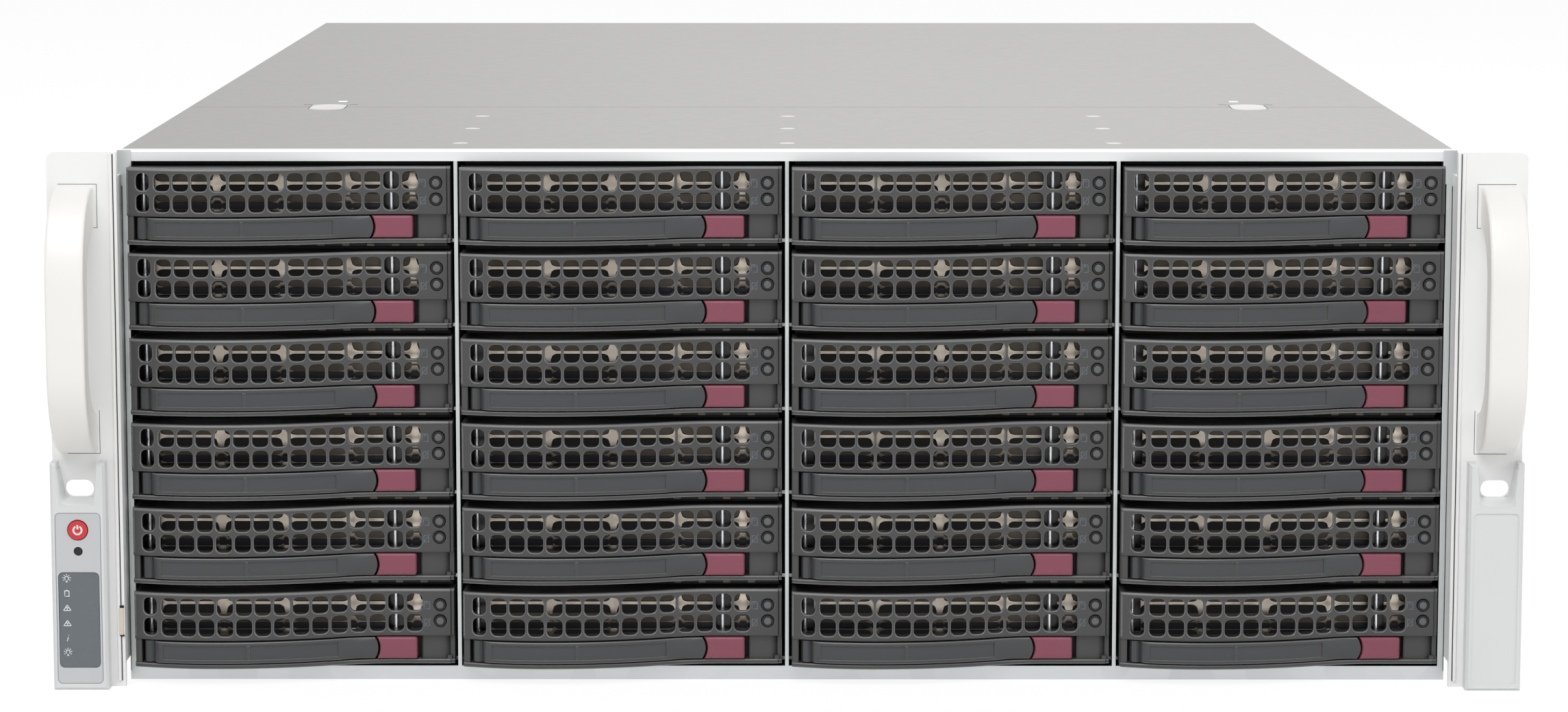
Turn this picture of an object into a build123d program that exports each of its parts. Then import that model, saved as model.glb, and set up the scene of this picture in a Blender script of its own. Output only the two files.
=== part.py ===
from build123d import *
import os
from math import acos, asin, degrees, sqrt

os.makedirs("parts", exist_ok=True)

# Disk shelf enclosure, in millimetres. The origin is the middle of the underside of the
# sheet metal body, +Z is up and the disk bays face -Y. A depth is measured from the front
# edge of the body towards the back, so what stands in front of that edge has a depth
# below zero.

# Hard disk, 3.5 inch form
DRIVE_W = 101.6
DRIVE_L = 147.0
DRIVE_H = 26.1
SOCKET_W = 42.0
SOCKET_H = 6.0
SOCKET_DEPTH = 4.5

# Tray that carries one disk
ROWS = 6
COLUMNS = 4
DRIVE_FIT = 0.3
DRIVE_LIFT = 0.4
DRIVE_SETBACK = 2.0
RAIL_T = 1.0
RAIL_H = 24.5
RAIL_LIFT = 0.5
RAIL_TAIL = 2.0
STRAP_H = 7.0
TRAY_PLATE_DEPTH = 8.0
PLATE_SLOT_W = 84.0
PLATE_SLOT_H = 5.0
PLATE_SLOT_LIFT = 16.6
PLATE_LOBE_R = 4.2
PLATE_LOBES = 4
RUN_CLEARANCE = 0.3

# Curved bezel on the front of the tray
BEZEL_OVERHANG = 0.7
BEZEL_FACE = -1.5
BEZEL_T = 1.8
BEZEL_END_T = 1.5
CREST_X = 27.0
CREST_RISE = 9.9
CREST_R_LEFT = 82.0
CREST_R_RIGHT = 120.0
BLEND_R = 56.0
LIP_H = 1.5
CHANNEL_H = 7.9
CHANNEL_DEPTH = 5.4
CHANNEL_BACK_T = 1.6
WEB_T = 1.2
PILLAR_W = 11.1
PILLAR_SETBACK = 1.6
POST_W = 2.4
POST_SETBACK = 0.5

# Air holes of the bezel
HOLE_W = 5.24
HOLE_H = 5.8
HOLE_CORNER = 1.2
HOLE_PITCH_X = 6.18
HOLE_PITCH_Z = 6.9
HOLE_MARGIN_TOP = 1.7
END_HOLE_W = 4.5
END_HOLE_X = 5.5
FIRST_HOLE_X = 12.0
LENS_R = 2.05
LENS_CLEARANCE = 0.15
LENS_PROUD = 0.3
LENS_FROM_RIGHT = 4.8
LENS_DROP = 5.5
LENS_PITCH = 5.4

# Pull lever and its release button
LEVER_PROUD = 0.8
LEVER_T = 4.2
LEVER_PLAY = 0.4
LEVER_END_R = 6.0
LEVER_PANEL_DEPTH = 0.5
LEVER_PANEL_MARGIN = 1.1
LEVER_PANEL_X = 4.3
LEVER_TIP_L = 12.2
PIVOT_X = 5.2
PIVOT_SETBACK = 2.6
BARREL_R = 2.0
BARREL_SIDES = 8
PIN_R = 0.9
PIN_CLEARANCE = 0.2
BUTTON_W = 12.4
BUTTON_GAP = 0.6
BUTTON_TRAVEL = 1.0

# Sheet metal body
SHEET = 1.2
COLUMN_GAP = 3.2
SIDE_MARGIN = 0.9
ROW_AIR = 2.05
ROW_GAP = 2.85
BOTTOM_RAIL_H = 4.6
TOP_RAIL_H = 3.8
BAY_CLEAR = 1.0
TOP_CLEAR = 0.35
SIDE_FLANGE = 2.1
LEDGE_T = 1.1
LEDGE_START = 10.0
COVER_GAP = 0.3
SPLIT_GAP = 0.6
SPLIT_SETBACK = 4.0
SKIRT_H = 12.0
SKIRT_GAP = 0.4
SKIRT_END = 10.0
TOP_FLANGE_W = 10.0
RIVET_R = 2.75
RIVET_SIDES = 12
RIVET_CLEARANCE = 0.05
RIVET_DEPTHS = (24.0, 81.0, 132.0)
RAIL_HOLE_R = 2.1
RAIL_HOLE_SETBACK = 6.0
RAIL_HOLE_PITCH = 420.0
RAIL_HOLE_Z = 130.0

# Cover release buttons on the split of the top
RELEASE_X = 168.0
RELEASE_L = 26.0
RELEASE_W = 13.3
RELEASE_CLEARANCE = 0.3
RELEASE_CAP_T = 2.4
RELEASE_STEM_W = 5.0
RELEASE_STEM_SETBACK = 6.0
RELEASE_CLIP_W = 7.2
RELEASE_CLIP_T = 0.8
SHELF_DROP = 4.0
SHELF_W = 20.0
SHELF_END = 1.0

# Backplane and its disk connectors
BACKPLANE_GAP = 10.0
BOARD_T = 1.6
BOARD_MARGIN = 5.0
BOARD_TOP_CLEAR = 0.4
PLUG_CLEARANCE = 0.7
PLUG_BASE_H = 9.0
VENT_W = 84.0
VENT_H = 9.0
VENT_LIFT = 14.0

# Middle fans, rear fans
FAN_WALL_GAP = 1.5
FAN_SIZE = 120.0
FAN_DEPTH = 38.0
FAN_PITCH = 126.0
FANS = 3
REAR_FAN_SIZE = 80.0
REAR_FAN_DEPTH = 25.0
REAR_FAN_PITCH = 86.0
REAR_FAN_X = 35.0
REAR_FAN_Z = 115.0
FAN_WALL_T = 2.5
FAN_SIDES = 20
HUB_SHARE = 0.36
STRUT_T = 3.0
STRUT_W = 5.0
SHAFT_R = 2.0
SHAFT_CLEARANCE = 0.2
BLADES = 7
BLADE_T = 1.6
BLADE_PITCH = 35.0
BLADE_TIP_GAP = 2.0
ROTOR_END_GAP = 1.0
FAN_WALL_CLEAR = 0.5
GUARD_T = 1.5
GUARD_RING_W = 2.0

# Room behind the middle fans
ELECTRONICS_L = 434.3

# Power supplies
PSU_W = 76.0
PSU_H = 40.0
PSU_L = 320.0
PSU_CLEARANCE = 0.6
CAGE_T = 1.0
CAGE_LIFT = 4.0
CAGE_RIGHT_GAP = 3.1
CAGE_EXTRA_L = 6.0
INLET_W = 28.0
INLET_H = 20.5
INLET_DEPTH = 14.0
INLET_OFFSET = -20.0
PSU_VENT_R = 15.0
PSU_VENT_OFFSET = 11.0
PSU_VENT_DEPTH = 3.0
PSU_VENT_HUB_R = 6.0
HANDLE_REACH = 22.0
HANDLE_ROD = 3.0
PSU_HANDLE_H = 32.0
LATCH_POCKET_DEPTH = 18.0
LATCH_H = 16.0
LATCH_T = 2.4
LATCH_REACH = 8.0
LATCH_EDGE = 2.4
LATCH_TRAVEL = 3.0

# Rear panel
SLOTS = 7
SLOT_PITCH = 20.32
SLOT_W = 13.0
SLOT_H = 108.0
SLOT_Z = 52.0
SLOT_FIRST_X = -201.0
BRACKET_W = 18.4
BRACKET_T = 1.0
BRACKET_TAB_L = 11.0
BRACKET_LAP = 4.0
PORT_SLOT = 5
PORT_W = 9.0
PORT_H = 24.0
PORT_WALL = 1.0
PORT_L = 16.0
PORT_PROUD = 2.0
PORT_PITCH = 34.0
PORT_BOARD_L = 60.0
IO_W = 159.0
IO_H = 44.5
IO_X = -45.0
IO_Z = 8.0
IO_LAP = 1.6

# Rack ears, their handles and the control panel
EAR_W = 22.8
EAR_T = 2.0
EAR_PROUD = 11.6
EAR_CORNER_R = 2.5
EAR_FLANGE_L = 72.0
EAR_FLANGE_INSET = 8.0
EAR_SLOT_OUT = 14.05
EAR_SLOT_Z = 66.3
EAR_SLOT_L = 9.5
EAR_SLOT_H = 5.7
EAR_SCREW_R = 3.0
EAR_SCREW_SIDES = 6
EAR_SCREW_H = 1.5
EAR_SCREWS = 3
HANDLE_Z = 78.4
HANDLE_SPAN = 87.8
HANDLE_W = 12.6
HANDLE_OUT = 25.0
HANDLE_GRIP = 9.0
HANDLE_FOOT_H = 13.8
HANDLE_LEAN = 7.0
HANDLE_R = 11.0
HANDLE_INNER_R = 6.0
HANDLE_EDGE = 1.2
HOUSING_W = 18.1
HOUSING_H = 75.6
HOUSING_PROUD = 6.6
HOUSING_WALL = 1.5
HOUSING_EDGE = 0.9
NOTCH_TOP_W = 13.5
NOTCH_BOTTOM_W = 11.3
NOTCH_Z = 61.5
CONTROL_X = 8.9
POWER_Z = 53.5
POWER_R = 3.15
POWER_PROUD = 0.4
RESET_R = 1.2
RESET_SETBACK = 0.8
KEY_CLEARANCE = 0.3
KEY_FLANGE = 0.8
KEY_SPACING = 0.55
KEY_FLANGE_T = 0.8
KEY_STEM_W = 1.6
SWITCH_W = 3.4
SWITCH_H = 0.7
SWITCH_GAP = 1.1
CONTROL_BOARD_T = 1.0
CONTROL_BOARD_INSET = 0.5
WINDOW_W = 13.2
WINDOW_H = 31.6
WINDOW_Z = 23.5
WINDOW_R = 1.5
WINDOW_T = 0.8
WINDOW_SETBACK = 0.2
WINDOW_CLEARANCE = 0.15
PLATE_W = 14.8
PLATE_H = 56.8
PLATE_Z = 30.7
PLATE_R = 1.5
PLATE_SUNK = 0.3

# Sizes that follow from the ones above
RAIL_INNER = DRIVE_W / 2 + DRIVE_FIT
RAIL_OUTER = RAIL_INNER + RAIL_T
BEZEL_W = 2 * (RAIL_OUTER + BEZEL_OVERHANG)
COLUMN_PITCH = BEZEL_W + COLUMN_GAP
ROW_PITCH = DRIVE_H + ROW_AIR
BEZEL_H = ROW_PITCH - ROW_GAP
BAND_Z = LIP_H + CHANNEL_H
BAY_Z = BOTTOM_RAIL_H + BAY_CLEAR
BODY_W = COLUMNS * COLUMN_PITCH + 2 * SIDE_MARGIN
TOP_RAIL_Z = BAY_Z + (ROWS - 1) * ROW_PITCH + DRIVE_LIFT + DRIVE_H + TOP_CLEAR
BODY_H = TOP_RAIL_Z + TOP_RAIL_H
TOP_Z = BODY_H - SHEET
SIDE_Z = TOP_Z - COVER_GAP
INNER_X = BODY_W / 2 - SHEET
DRIVE_FRONT = TRAY_PLATE_DEPTH + RAIL_T + DRIVE_SETBACK
DRIVE_REAR = DRIVE_FRONT + DRIVE_L
RAIL_END = DRIVE_REAR + RAIL_TAIL
BACKPLANE_DEPTH = DRIVE_REAR + BACKPLANE_GAP
SPLIT_DEPTH = BACKPLANE_DEPTH + SPLIT_SETBACK
FAN_WALL_DEPTH = SPLIT_DEPTH + RELEASE_L / 2 + FAN_WALL_GAP
FAN_FRONT = FAN_WALL_DEPTH + SHEET
BODY_D = FAN_FRONT + FAN_DEPTH + ELECTRONICS_L
FRONT_Y = -BODY_D / 2
REAR_Y = BODY_D / 2
REAR_INNER_Y = REAR_Y - SHEET
SHELF_Z = TOP_Z - SHELF_DROP - SHEET
SHELF_DEPTH = RAIL_END + RAIL_T
EAR_FACE = -EAR_PROUD
EAR_BACK = EAR_FACE + EAR_T
EAR_X = BODY_W / 2 + EAR_W
HOUSING_FACE = EAR_FACE - HOUSING_PROUD
CONTROL_CENTRE_X = -EAR_X + CONTROL_X
KEY_RIM = KEY_CLEARANCE + KEY_FLANGE
RESET_Z = POWER_Z - POWER_R - RESET_R - 2 * KEY_RIM - KEY_SPACING
LATCH_POCKET_W = 1.5 * LATCH_T + LATCH_TRAVEL + 2 * RUN_CLEARANCE
BUTTON_X0 = BEZEL_W - PILLAR_W - RUN_CLEARANCE - BUTTON_TRAVEL - BUTTON_W
LEVER_X1 = BUTTON_X0 - BUTTON_GAP
LEVER_Z0 = LIP_H + LEVER_PLAY
LEVER_H = CHANNEL_H - 2 * LEVER_PLAY
HERO_TRAY = (0, ROWS - 1)


def front_plane(depth):
    """Plane seen from the front, at a depth behind the front edge of the body."""
    return Plane.XZ.offset(-(FRONT_Y + depth))


def span(low_a, high_a, low_b, high_b, mode=Mode.ADD):
    """Rectangle of the current sketch, given by its limits along both axes."""
    with Locations(((low_a + high_a) / 2, (low_b + high_b) / 2)):
        Rectangle(high_a - low_a, high_b - low_b, mode=mode)


def bezel_strip(front, back, left, right, fine):
    """Plan of a strip that follows the bezel's face, between two shifts behind that face
    and between two places across it. The face swells over a crest on the left, turns
    back through an equal angle and ends flat. A coarse strip runs straight between
    places on the same arcs."""
    mode = Mode.ADD if fine else Mode.PRIVATE
    turn = degrees(acos(1 - CREST_RISE / (CREST_R_RIGHT + BLEND_R)))
    swell = degrees(asin(CREST_X / CREST_R_LEFT))
    ends = []
    with BuildSketch() as strip:
        with BuildLine():
            for shift in (front, back):
                crest = (CREST_X, BEZEL_FACE - CREST_RISE + shift)
                left_arc = JernArc(crest, (-1, 0), CREST_R_LEFT, -swell, mode=mode)
                right_arc = JernArc(crest, (1, 0), CREST_R_RIGHT, turn, mode=mode)
                blend = JernArc(right_arc @ 1, right_arc % 1, BLEND_R, -turn, mode=mode)
                right_end = (BEZEL_W, BEZEL_FACE + shift)
                if fine:
                    Line(blend @ 1, right_end)
                else:
                    bend = (right_arc @ 0.5, right_arc @ 1, blend @ 1)
                    Polyline(left_arc @ 1, crest, *bend, right_end)
                ends.append((left_arc @ 1, right_end))
            Line(ends[0][0], ends[1][0])
            Line(ends[0][1], ends[1][1])
        make_face()
        reach = CREST_RISE + abs(BEZEL_FACE) + abs(front) + abs(back)
        span(left, right, -2 * reach, 2 * reach, mode=Mode.INTERSECT)
    return strip.sketch


def face_depth(across):
    """Depth of the bezel's face at a place on the left arc of the crest."""
    sag = CREST_R_LEFT - sqrt(CREST_R_LEFT**2 - (CREST_X - across) ** 2)
    return BEZEL_FACE - CREST_RISE + sag


PIVOT_DEPTH = face_depth(PIVOT_X) + PIVOT_SETBACK
CHANNEL_BACK = CHANNEL_DEPTH + CHANNEL_BACK_T
UPPER_HOLE_Z = BEZEL_H - HOLE_MARGIN_TOP - HOLE_H / 2
HOLE_ROWS_Z = UPPER_HOLE_Z - HOLE_PITCH_Z / 2
LENS_X = BEZEL_W - LENS_FROM_RIGHT
LENS_ROWS = (BEZEL_H - LENS_DROP, BEZEL_H - LENS_DROP - LENS_PITCH)
HOLE_COLUMNS = int((LENS_X - LENS_R - HOLE_PITCH_X - FIRST_HOLE_X) / HOLE_PITCH_X) + 1
LAST_HOLE_X = FIRST_HOLE_X + (HOLE_COLUMNS - 1) * HOLE_PITCH_X


def bezel(fine):
    """Bezel of one tray. A fine one has each air hole and its lens holes. A coarse one
    has the two rows of holes as two long windows."""
    with BuildPart() as body:
        for front, back, low, high in (
            (0, CHANNEL_BACK, 0, LIP_H),
            (CHANNEL_DEPTH, CHANNEL_BACK, LIP_H, BAND_Z),
            (0, CHANNEL_BACK, BAND_Z, BAND_Z + WEB_T),
            (0, BEZEL_T, BAND_Z + WEB_T, BEZEL_H),
        ):
            with BuildSketch(Plane.XY.offset(low)):
                add(bezel_strip(front, back, 0, BEZEL_W, fine))
            extrude(amount=high - low)
        # Post at the lever's pivot and pillar beside the button
        with BuildSketch(Plane.XY.offset(LIP_H)):
            add(bezel_strip(POST_SETBACK, CHANNEL_DEPTH, 0, POST_W, fine))
            pillar_x = BEZEL_W - PILLAR_W
            add(bezel_strip(PILLAR_SETBACK, CHANNEL_DEPTH, pillar_x, BEZEL_W, fine))
        extrude(amount=CHANNEL_H)
        # End walls that run back to the tray's front plate
        with BuildSketch():
            span(0, BEZEL_END_T, face_depth(0) + BEZEL_T / 2, TRAY_PLATE_DEPTH)
            span(BEZEL_W - BEZEL_END_T, BEZEL_W, BEZEL_FACE + BEZEL_T / 2, TRAY_PLATE_DEPTH)
        extrude(amount=BEZEL_H)
        with BuildSketch(Plane.XZ.offset(2 * CREST_RISE)) as holes:
            if fine:
                middle = (FIRST_HOLE_X + LAST_HOLE_X) / 2
                with Locations((middle, HOLE_ROWS_Z)):
                    with GridLocations(HOLE_PITCH_X, HOLE_PITCH_Z, HOLE_COLUMNS, 2):
                        Rectangle(HOLE_W, HOLE_H)
                with Locations((END_HOLE_X, HOLE_ROWS_Z)):
                    with GridLocations(HOLE_PITCH_X, HOLE_PITCH_Z, 1, 2):
                        Rectangle(END_HOLE_W, HOLE_H)
                chamfer(holes.vertices(), HOLE_CORNER)
                with Locations(*[(LENS_X, z) for z in LENS_ROWS]):
                    Circle(LENS_R + LENS_CLEARANCE)
            else:
                left = END_HOLE_X - END_HOLE_W / 2
                right = LAST_HOLE_X + HOLE_W / 2
                with Locations(((left + right) / 2, HOLE_ROWS_Z)):
                    with GridLocations(HOLE_PITCH_X, HOLE_PITCH_Z, 1, 2):
                        Rectangle(right - left, HOLE_H)
        extrude(amount=-(2 * CREST_RISE + BEZEL_T), mode=Mode.SUBTRACT)
        if fine:
            with Locations((PIVOT_X, PIVOT_DEPTH, BAND_Z / 2 + LIP_H / 2)):
                Cylinder(PIN_R, CHANNEL_H)
    return body.part


def tray_frame(fine):
    """Two side rails, a slotted front plate and a rear strap round one disk."""
    middle = BEZEL_W / 2
    with BuildPart() as body:
        with BuildSketch(Plane.XY.offset(RAIL_LIFT)):
            span(middle - RAIL_OUTER, middle + RAIL_OUTER, TRAY_PLATE_DEPTH, RAIL_END)
            inner = (middle - RAIL_INNER, middle + RAIL_INNER)
            span(*inner, TRAY_PLATE_DEPTH + RAIL_T, RAIL_END, mode=Mode.SUBTRACT)
        extrude(amount=RAIL_H)
        with BuildSketch(Plane.XY.offset(RAIL_LIFT + RAIL_H - STRAP_H)):
            span(*inner, DRIVE_REAR + RUN_CLEARANCE, RAIL_END)
        extrude(amount=STRAP_H)
        with BuildSketch(Plane.XZ.offset(-TRAY_PLATE_DEPTH)):
            with Locations((middle, PLATE_SLOT_LIFT)):
                Rectangle(PLATE_SLOT_W, PLATE_SLOT_H)
                if fine:
                    with GridLocations(PLATE_SLOT_W / PLATE_LOBES, 1, PLATE_LOBES, 1):
                        Circle(PLATE_LOBE_R)
        extrude(amount=-RAIL_T, mode=Mode.SUBTRACT)
    return body.part


def drive():
    """Hard disk with the recess for its connector in the rear face."""
    with BuildPart() as body:
        with BuildSketch(Plane.XZ.offset(-DRIVE_FRONT)):
            with Locations((BEZEL_W / 2, DRIVE_LIFT + DRIVE_H / 2)):
                Rectangle(DRIVE_W, DRIVE_H)
        extrude(amount=-DRIVE_L)
        with BuildSketch(Plane.XZ.offset(-(DRIVE_REAR - SOCKET_DEPTH))):
            with Locations((BEZEL_W / 2, DRIVE_LIFT + SOCKET_H)):
                Rectangle(SOCKET_W, SOCKET_H)
        extrude(amount=-SOCKET_DEPTH, mode=Mode.SUBTRACT)
    return body.part


def lever(fine):
    """Pull lever: a bar that follows the bezel's face from its barrel to a round tip,
    with a sunk label panel."""
    with BuildPart() as body:
        with BuildSketch(Plane.XY.offset(LEVER_Z0)):
            add(bezel_strip(-LEVER_PROUD, LEVER_T - LEVER_PROUD, PIVOT_X, LEVER_X1, fine))
            with Locations((PIVOT_X, PIVOT_DEPTH)):
                if fine:
                    Circle(BARREL_R)
                else:
                    RegularPolygon(BARREL_R, BARREL_SIDES)
        extrude(amount=LEVER_H)
        middle = LEVER_Z0 + LEVER_H / 2
        with BuildSketch(Plane.XZ.offset(2 * CREST_RISE)):
            with Locations((LEVER_X1 - LEVER_END_R, middle)):
                Rectangle(LEVER_END_R, LEVER_H, align=(Align.MIN, Align.CENTER))
                Circle(LEVER_END_R, mode=Mode.SUBTRACT)
        extrude(amount=-3 * CREST_RISE, mode=Mode.SUBTRACT)
        with BuildSketch(Plane.XY.offset(LEVER_Z0 + LEVER_PANEL_MARGIN)):
            left = PIVOT_X + LEVER_PANEL_X
            floor = LEVER_PANEL_DEPTH - LEVER_PROUD
            add(bezel_strip(-2 * LEVER_PROUD, floor, left, LEVER_X1 - LEVER_TIP_L, fine))
        extrude(amount=LEVER_H - 2 * LEVER_PANEL_MARGIN, mode=Mode.SUBTRACT)
        if fine:
            with Locations((PIVOT_X, PIVOT_DEPTH, middle)):
                Hole(PIN_R + PIN_CLEARANCE)
    return body.part


def button(fine):
    """Release button, hollowed on its left to wrap round the tip of the lever."""
    low = LIP_H + RUN_CLEARANCE
    height = CHANNEL_H - 2 * RUN_CLEARANCE
    with BuildPart() as body:
        with BuildSketch(Plane.XY.offset(low)):
            back = CHANNEL_DEPTH - RUN_CLEARANCE
            right = BUTTON_X0 + BUTTON_W
            add(bezel_strip(-LEVER_PROUD, back, LEVER_X1 - BUTTON_GAP, right, fine))
        extrude(amount=height)
        with BuildSketch(Plane.XZ.offset(2 * CREST_RISE)):
            with Locations((LEVER_X1 - LEVER_END_R, low + height / 2)):
                Circle(LEVER_END_R + BUTTON_GAP)
        extrude(amount=-3 * CREST_RISE, mode=Mode.SUBTRACT)
    return body.part


def lenses():
    """Two light pipes from the tray's front plate out through the bezel."""
    with BuildPart() as body:
        with BuildSketch(Plane.XZ.offset(LENS_PROUD - BEZEL_FACE)):
            with Locations(*[(LENS_X, z) for z in LENS_ROWS]):
                Circle(LENS_R)
        extrude(amount=-(TRAY_PLATE_DEPTH + LENS_PROUD - BEZEL_FACE))
    return body.part


def tray_place(column, row):
    """Place of a tray's lower left corner at the front edge of the body."""
    left = (column - COLUMNS / 2) * COLUMN_PITCH + COLUMN_GAP / 2
    return Location((left, FRONT_Y, BAY_Z + row * ROW_PITCH))


pieces = {}

for name, shape in (
    ("tray_bezel", bezel(True)),
    ("tray_frame", tray_frame(True)),
    ("tray_drive", drive()),
    ("tray_light_pipes", lenses()),
    ("tray_lever", lever(True)),
    ("tray_button", button(True)),
):
    with BuildPart() as piece:
        with Locations(tray_place(*HERO_TRAY)):
            add(shape)
    pieces[name] = piece

column_shapes = {
    "bezels": bezel(False),
    "frames": tray_frame(False),
    "drives": drive(),
    "levers": lever(False),
    "buttons": button(False),
}
for column in range(COLUMNS):
    spots = [tray_place(column, row) for row in range(ROWS) if (column, row) != HERO_TRAY]
    for name, shape in column_shapes.items():
        with BuildPart() as piece:
            with Locations(*spots):
                add(shape)
        pieces[f"column_{column + 1}_{name}"] = piece


def ledges(column, side, wall_face):
    """Ledges of the current sketch under one rail of a column's trays, from a wall's face
    to the inner side of the rail. side is -1 for the left rail and +1 for the right."""
    middle = (column + 0.5 - COLUMNS / 2) * COLUMN_PITCH
    limits = sorted((wall_face, middle + side * RAIL_INNER))
    for row in range(ROWS):
        top = BAY_Z + row * ROW_PITCH + RAIL_LIFT - RUN_CLEARANCE
        span(*limits, top - LEDGE_T, top)


# Body: floor and sides of one sheet, with the front edges turned in
opening = BODY_W / 2 - SIDE_FLANGE

with BuildPart() as chassis_base:
    with BuildSketch(front_plane(0)):
        span(-BODY_W / 2, BODY_W / 2, 0, SIDE_Z)
        span(-INNER_X, INNER_X, SHEET, SIDE_Z, mode=Mode.SUBTRACT)
    extrude(amount=-BODY_D)
    with BuildSketch(front_plane(0)):
        span(-BODY_W / 2, BODY_W / 2, 0, SIDE_Z)
        span(-opening, opening, BOTTOM_RAIL_H, SIDE_Z, mode=Mode.SUBTRACT)
    extrude(amount=-SHEET)
    with BuildSketch(front_plane(LEDGE_START)):
        ledges(0, -1, -INNER_X)
        ledges(COLUMNS - 1, 1, INNER_X)
    extrude(amount=-(BACKPLANE_DEPTH - LEDGE_START))
    with BuildSketch(Plane.YZ.offset(-BODY_W)):
        for setback in (RAIL_HOLE_SETBACK, RAIL_HOLE_SETBACK + RAIL_HOLE_PITCH):
            with Locations((FRONT_Y + SPLIT_DEPTH + setback, RAIL_HOLE_Z)):
                Circle(RAIL_HOLE_R)
    extrude(amount=2 * BODY_W, mode=Mode.SUBTRACT)
pieces["chassis_base"] = chassis_base

# Places shared by the two halves of the top
divider_lines = [COLUMN_PITCH * (column - COLUMNS / 2) for column in range(1, COLUMNS)]
rivet_spots = [(x, FRONT_Y + depth) for x in divider_lines for depth in RIVET_DEPTHS]
release_spots = [(side * RELEASE_X, FRONT_Y + SPLIT_DEPTH) for side in (-1, 1)]
stem_spots = [(x, y + RELEASE_STEM_SETBACK) for x, y in release_spots]

# Fixed front part of the top, with its rounded lip over the bays
with BuildPart() as front_top_panel:
    with BuildSketch(front_plane(0)):
        span(-opening, opening, TOP_RAIL_Z, TOP_Z)
    extrude(amount=-SHEET)
    with BuildSketch(Plane.XY.offset(TOP_Z)):
        span(-BODY_W / 2, BODY_W / 2, FRONT_Y, FRONT_Y + SPLIT_DEPTH)
    extrude(amount=SHEET)
    fold = front_top_panel.edges().filter_by(Axis.X).group_by(Axis.Z)[-1].sort_by(Axis.Y)[0]
    fillet(fold, SHEET * 0.7)
    with BuildSketch(front_plane(LEDGE_START)):
        for side in (-1, 1):
            span(*sorted((side * INNER_X, side * (INNER_X - SHEET))), TOP_Z - SKIRT_H, TOP_Z)
    extrude(amount=-(SPLIT_DEPTH - 2 * LEDGE_START))
    with BuildSketch(Plane.XY.offset(TOP_Z)):
        with Locations(*release_spots):
            SlotOverall(RELEASE_L, RELEASE_W, rotation=90)
    extrude(amount=SHEET, mode=Mode.SUBTRACT)
    with BuildSketch(Plane.XY.offset(TOP_Z)):
        with Locations(*rivet_spots):
            RegularPolygon(RIVET_R, RIVET_SIDES)
    extrude(amount=SHEET, mode=Mode.SUBTRACT)
    # Channel round each release button, hung from the panel behind the disks
    with BuildSketch(front_plane(SHELF_DEPTH)):
        for side in (-1, 1):
            low, high = side * RELEASE_X - SHELF_W / 2, side * RELEASE_X + SHELF_W / 2
            span(low, high, SHELF_Z, TOP_Z)
            span(low + SHEET, high - SHEET, SHELF_Z + SHEET, TOP_Z, mode=Mode.SUBTRACT)
    extrude(amount=-(SPLIT_DEPTH - SHELF_DEPTH))
    with BuildSketch(Plane.XY.offset(SHELF_Z)):
        for x, y in release_spots:
            span(x - SHELF_W / 2, x + SHELF_W / 2, y, y + RELEASE_L / 2 - SHELF_END)
    extrude(amount=SHEET)
    with BuildSketch(Plane.XY.offset(SHELF_Z)):
        with Locations(*stem_spots):
            stem_hole = RELEASE_STEM_W + 2 * RELEASE_CLEARANCE
            Rectangle(stem_hole, stem_hole)
    extrude(amount=SHEET, mode=Mode.SUBTRACT)
pieces["front_top_panel"] = front_top_panel

# Cover over the room behind the split, which lifts off
with BuildPart() as top_cover:
    with BuildSketch(Plane.XY.offset(TOP_Z)):
        span(-BODY_W / 2, BODY_W / 2, FRONT_Y + SPLIT_DEPTH + SPLIT_GAP, REAR_Y)
        with Locations(*release_spots):
            SlotOverall(RELEASE_L, RELEASE_W, rotation=90, mode=Mode.SUBTRACT)
    extrude(amount=SHEET)
    with BuildSketch(front_plane(SPLIT_DEPTH + SKIRT_END)):
        for side in (-1, 1):
            outer = side * (INNER_X - SKIRT_GAP)
            span(*sorted((outer, outer - side * SHEET)), TOP_Z - SKIRT_H, TOP_Z)
    extrude(amount=-(BODY_D - SPLIT_DEPTH - 2 * SKIRT_END - SHEET))
pieces["top_cover"] = top_cover

# Release buttons: a long cap, a stem through the shelf and a clip below it
with BuildPart() as cover_buttons:
    with BuildSketch(Plane.XY.offset(BODY_H - RELEASE_CAP_T)):
        with Locations(*release_spots):
            length = RELEASE_L - 2 * RELEASE_CLEARANCE
            SlotOverall(length, RELEASE_W - 2 * RELEASE_CLEARANCE, rotation=90)
    extrude(amount=RELEASE_CAP_T)
    stem_foot = SHELF_Z - RUN_CLEARANCE - RELEASE_CLIP_T
    with BuildSketch(Plane.XY.offset(stem_foot)):
        with Locations(*stem_spots):
            Rectangle(RELEASE_STEM_W, RELEASE_STEM_W)
    extrude(amount=BODY_H - RELEASE_CAP_T - stem_foot)
    with BuildSketch(Plane.XY.offset(stem_foot)):
        with Locations(*stem_spots):
            Rectangle(RELEASE_CLIP_W, RELEASE_CLIP_W)
    extrude(amount=RELEASE_CLIP_T)
pieces["cover_buttons"] = cover_buttons

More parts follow.
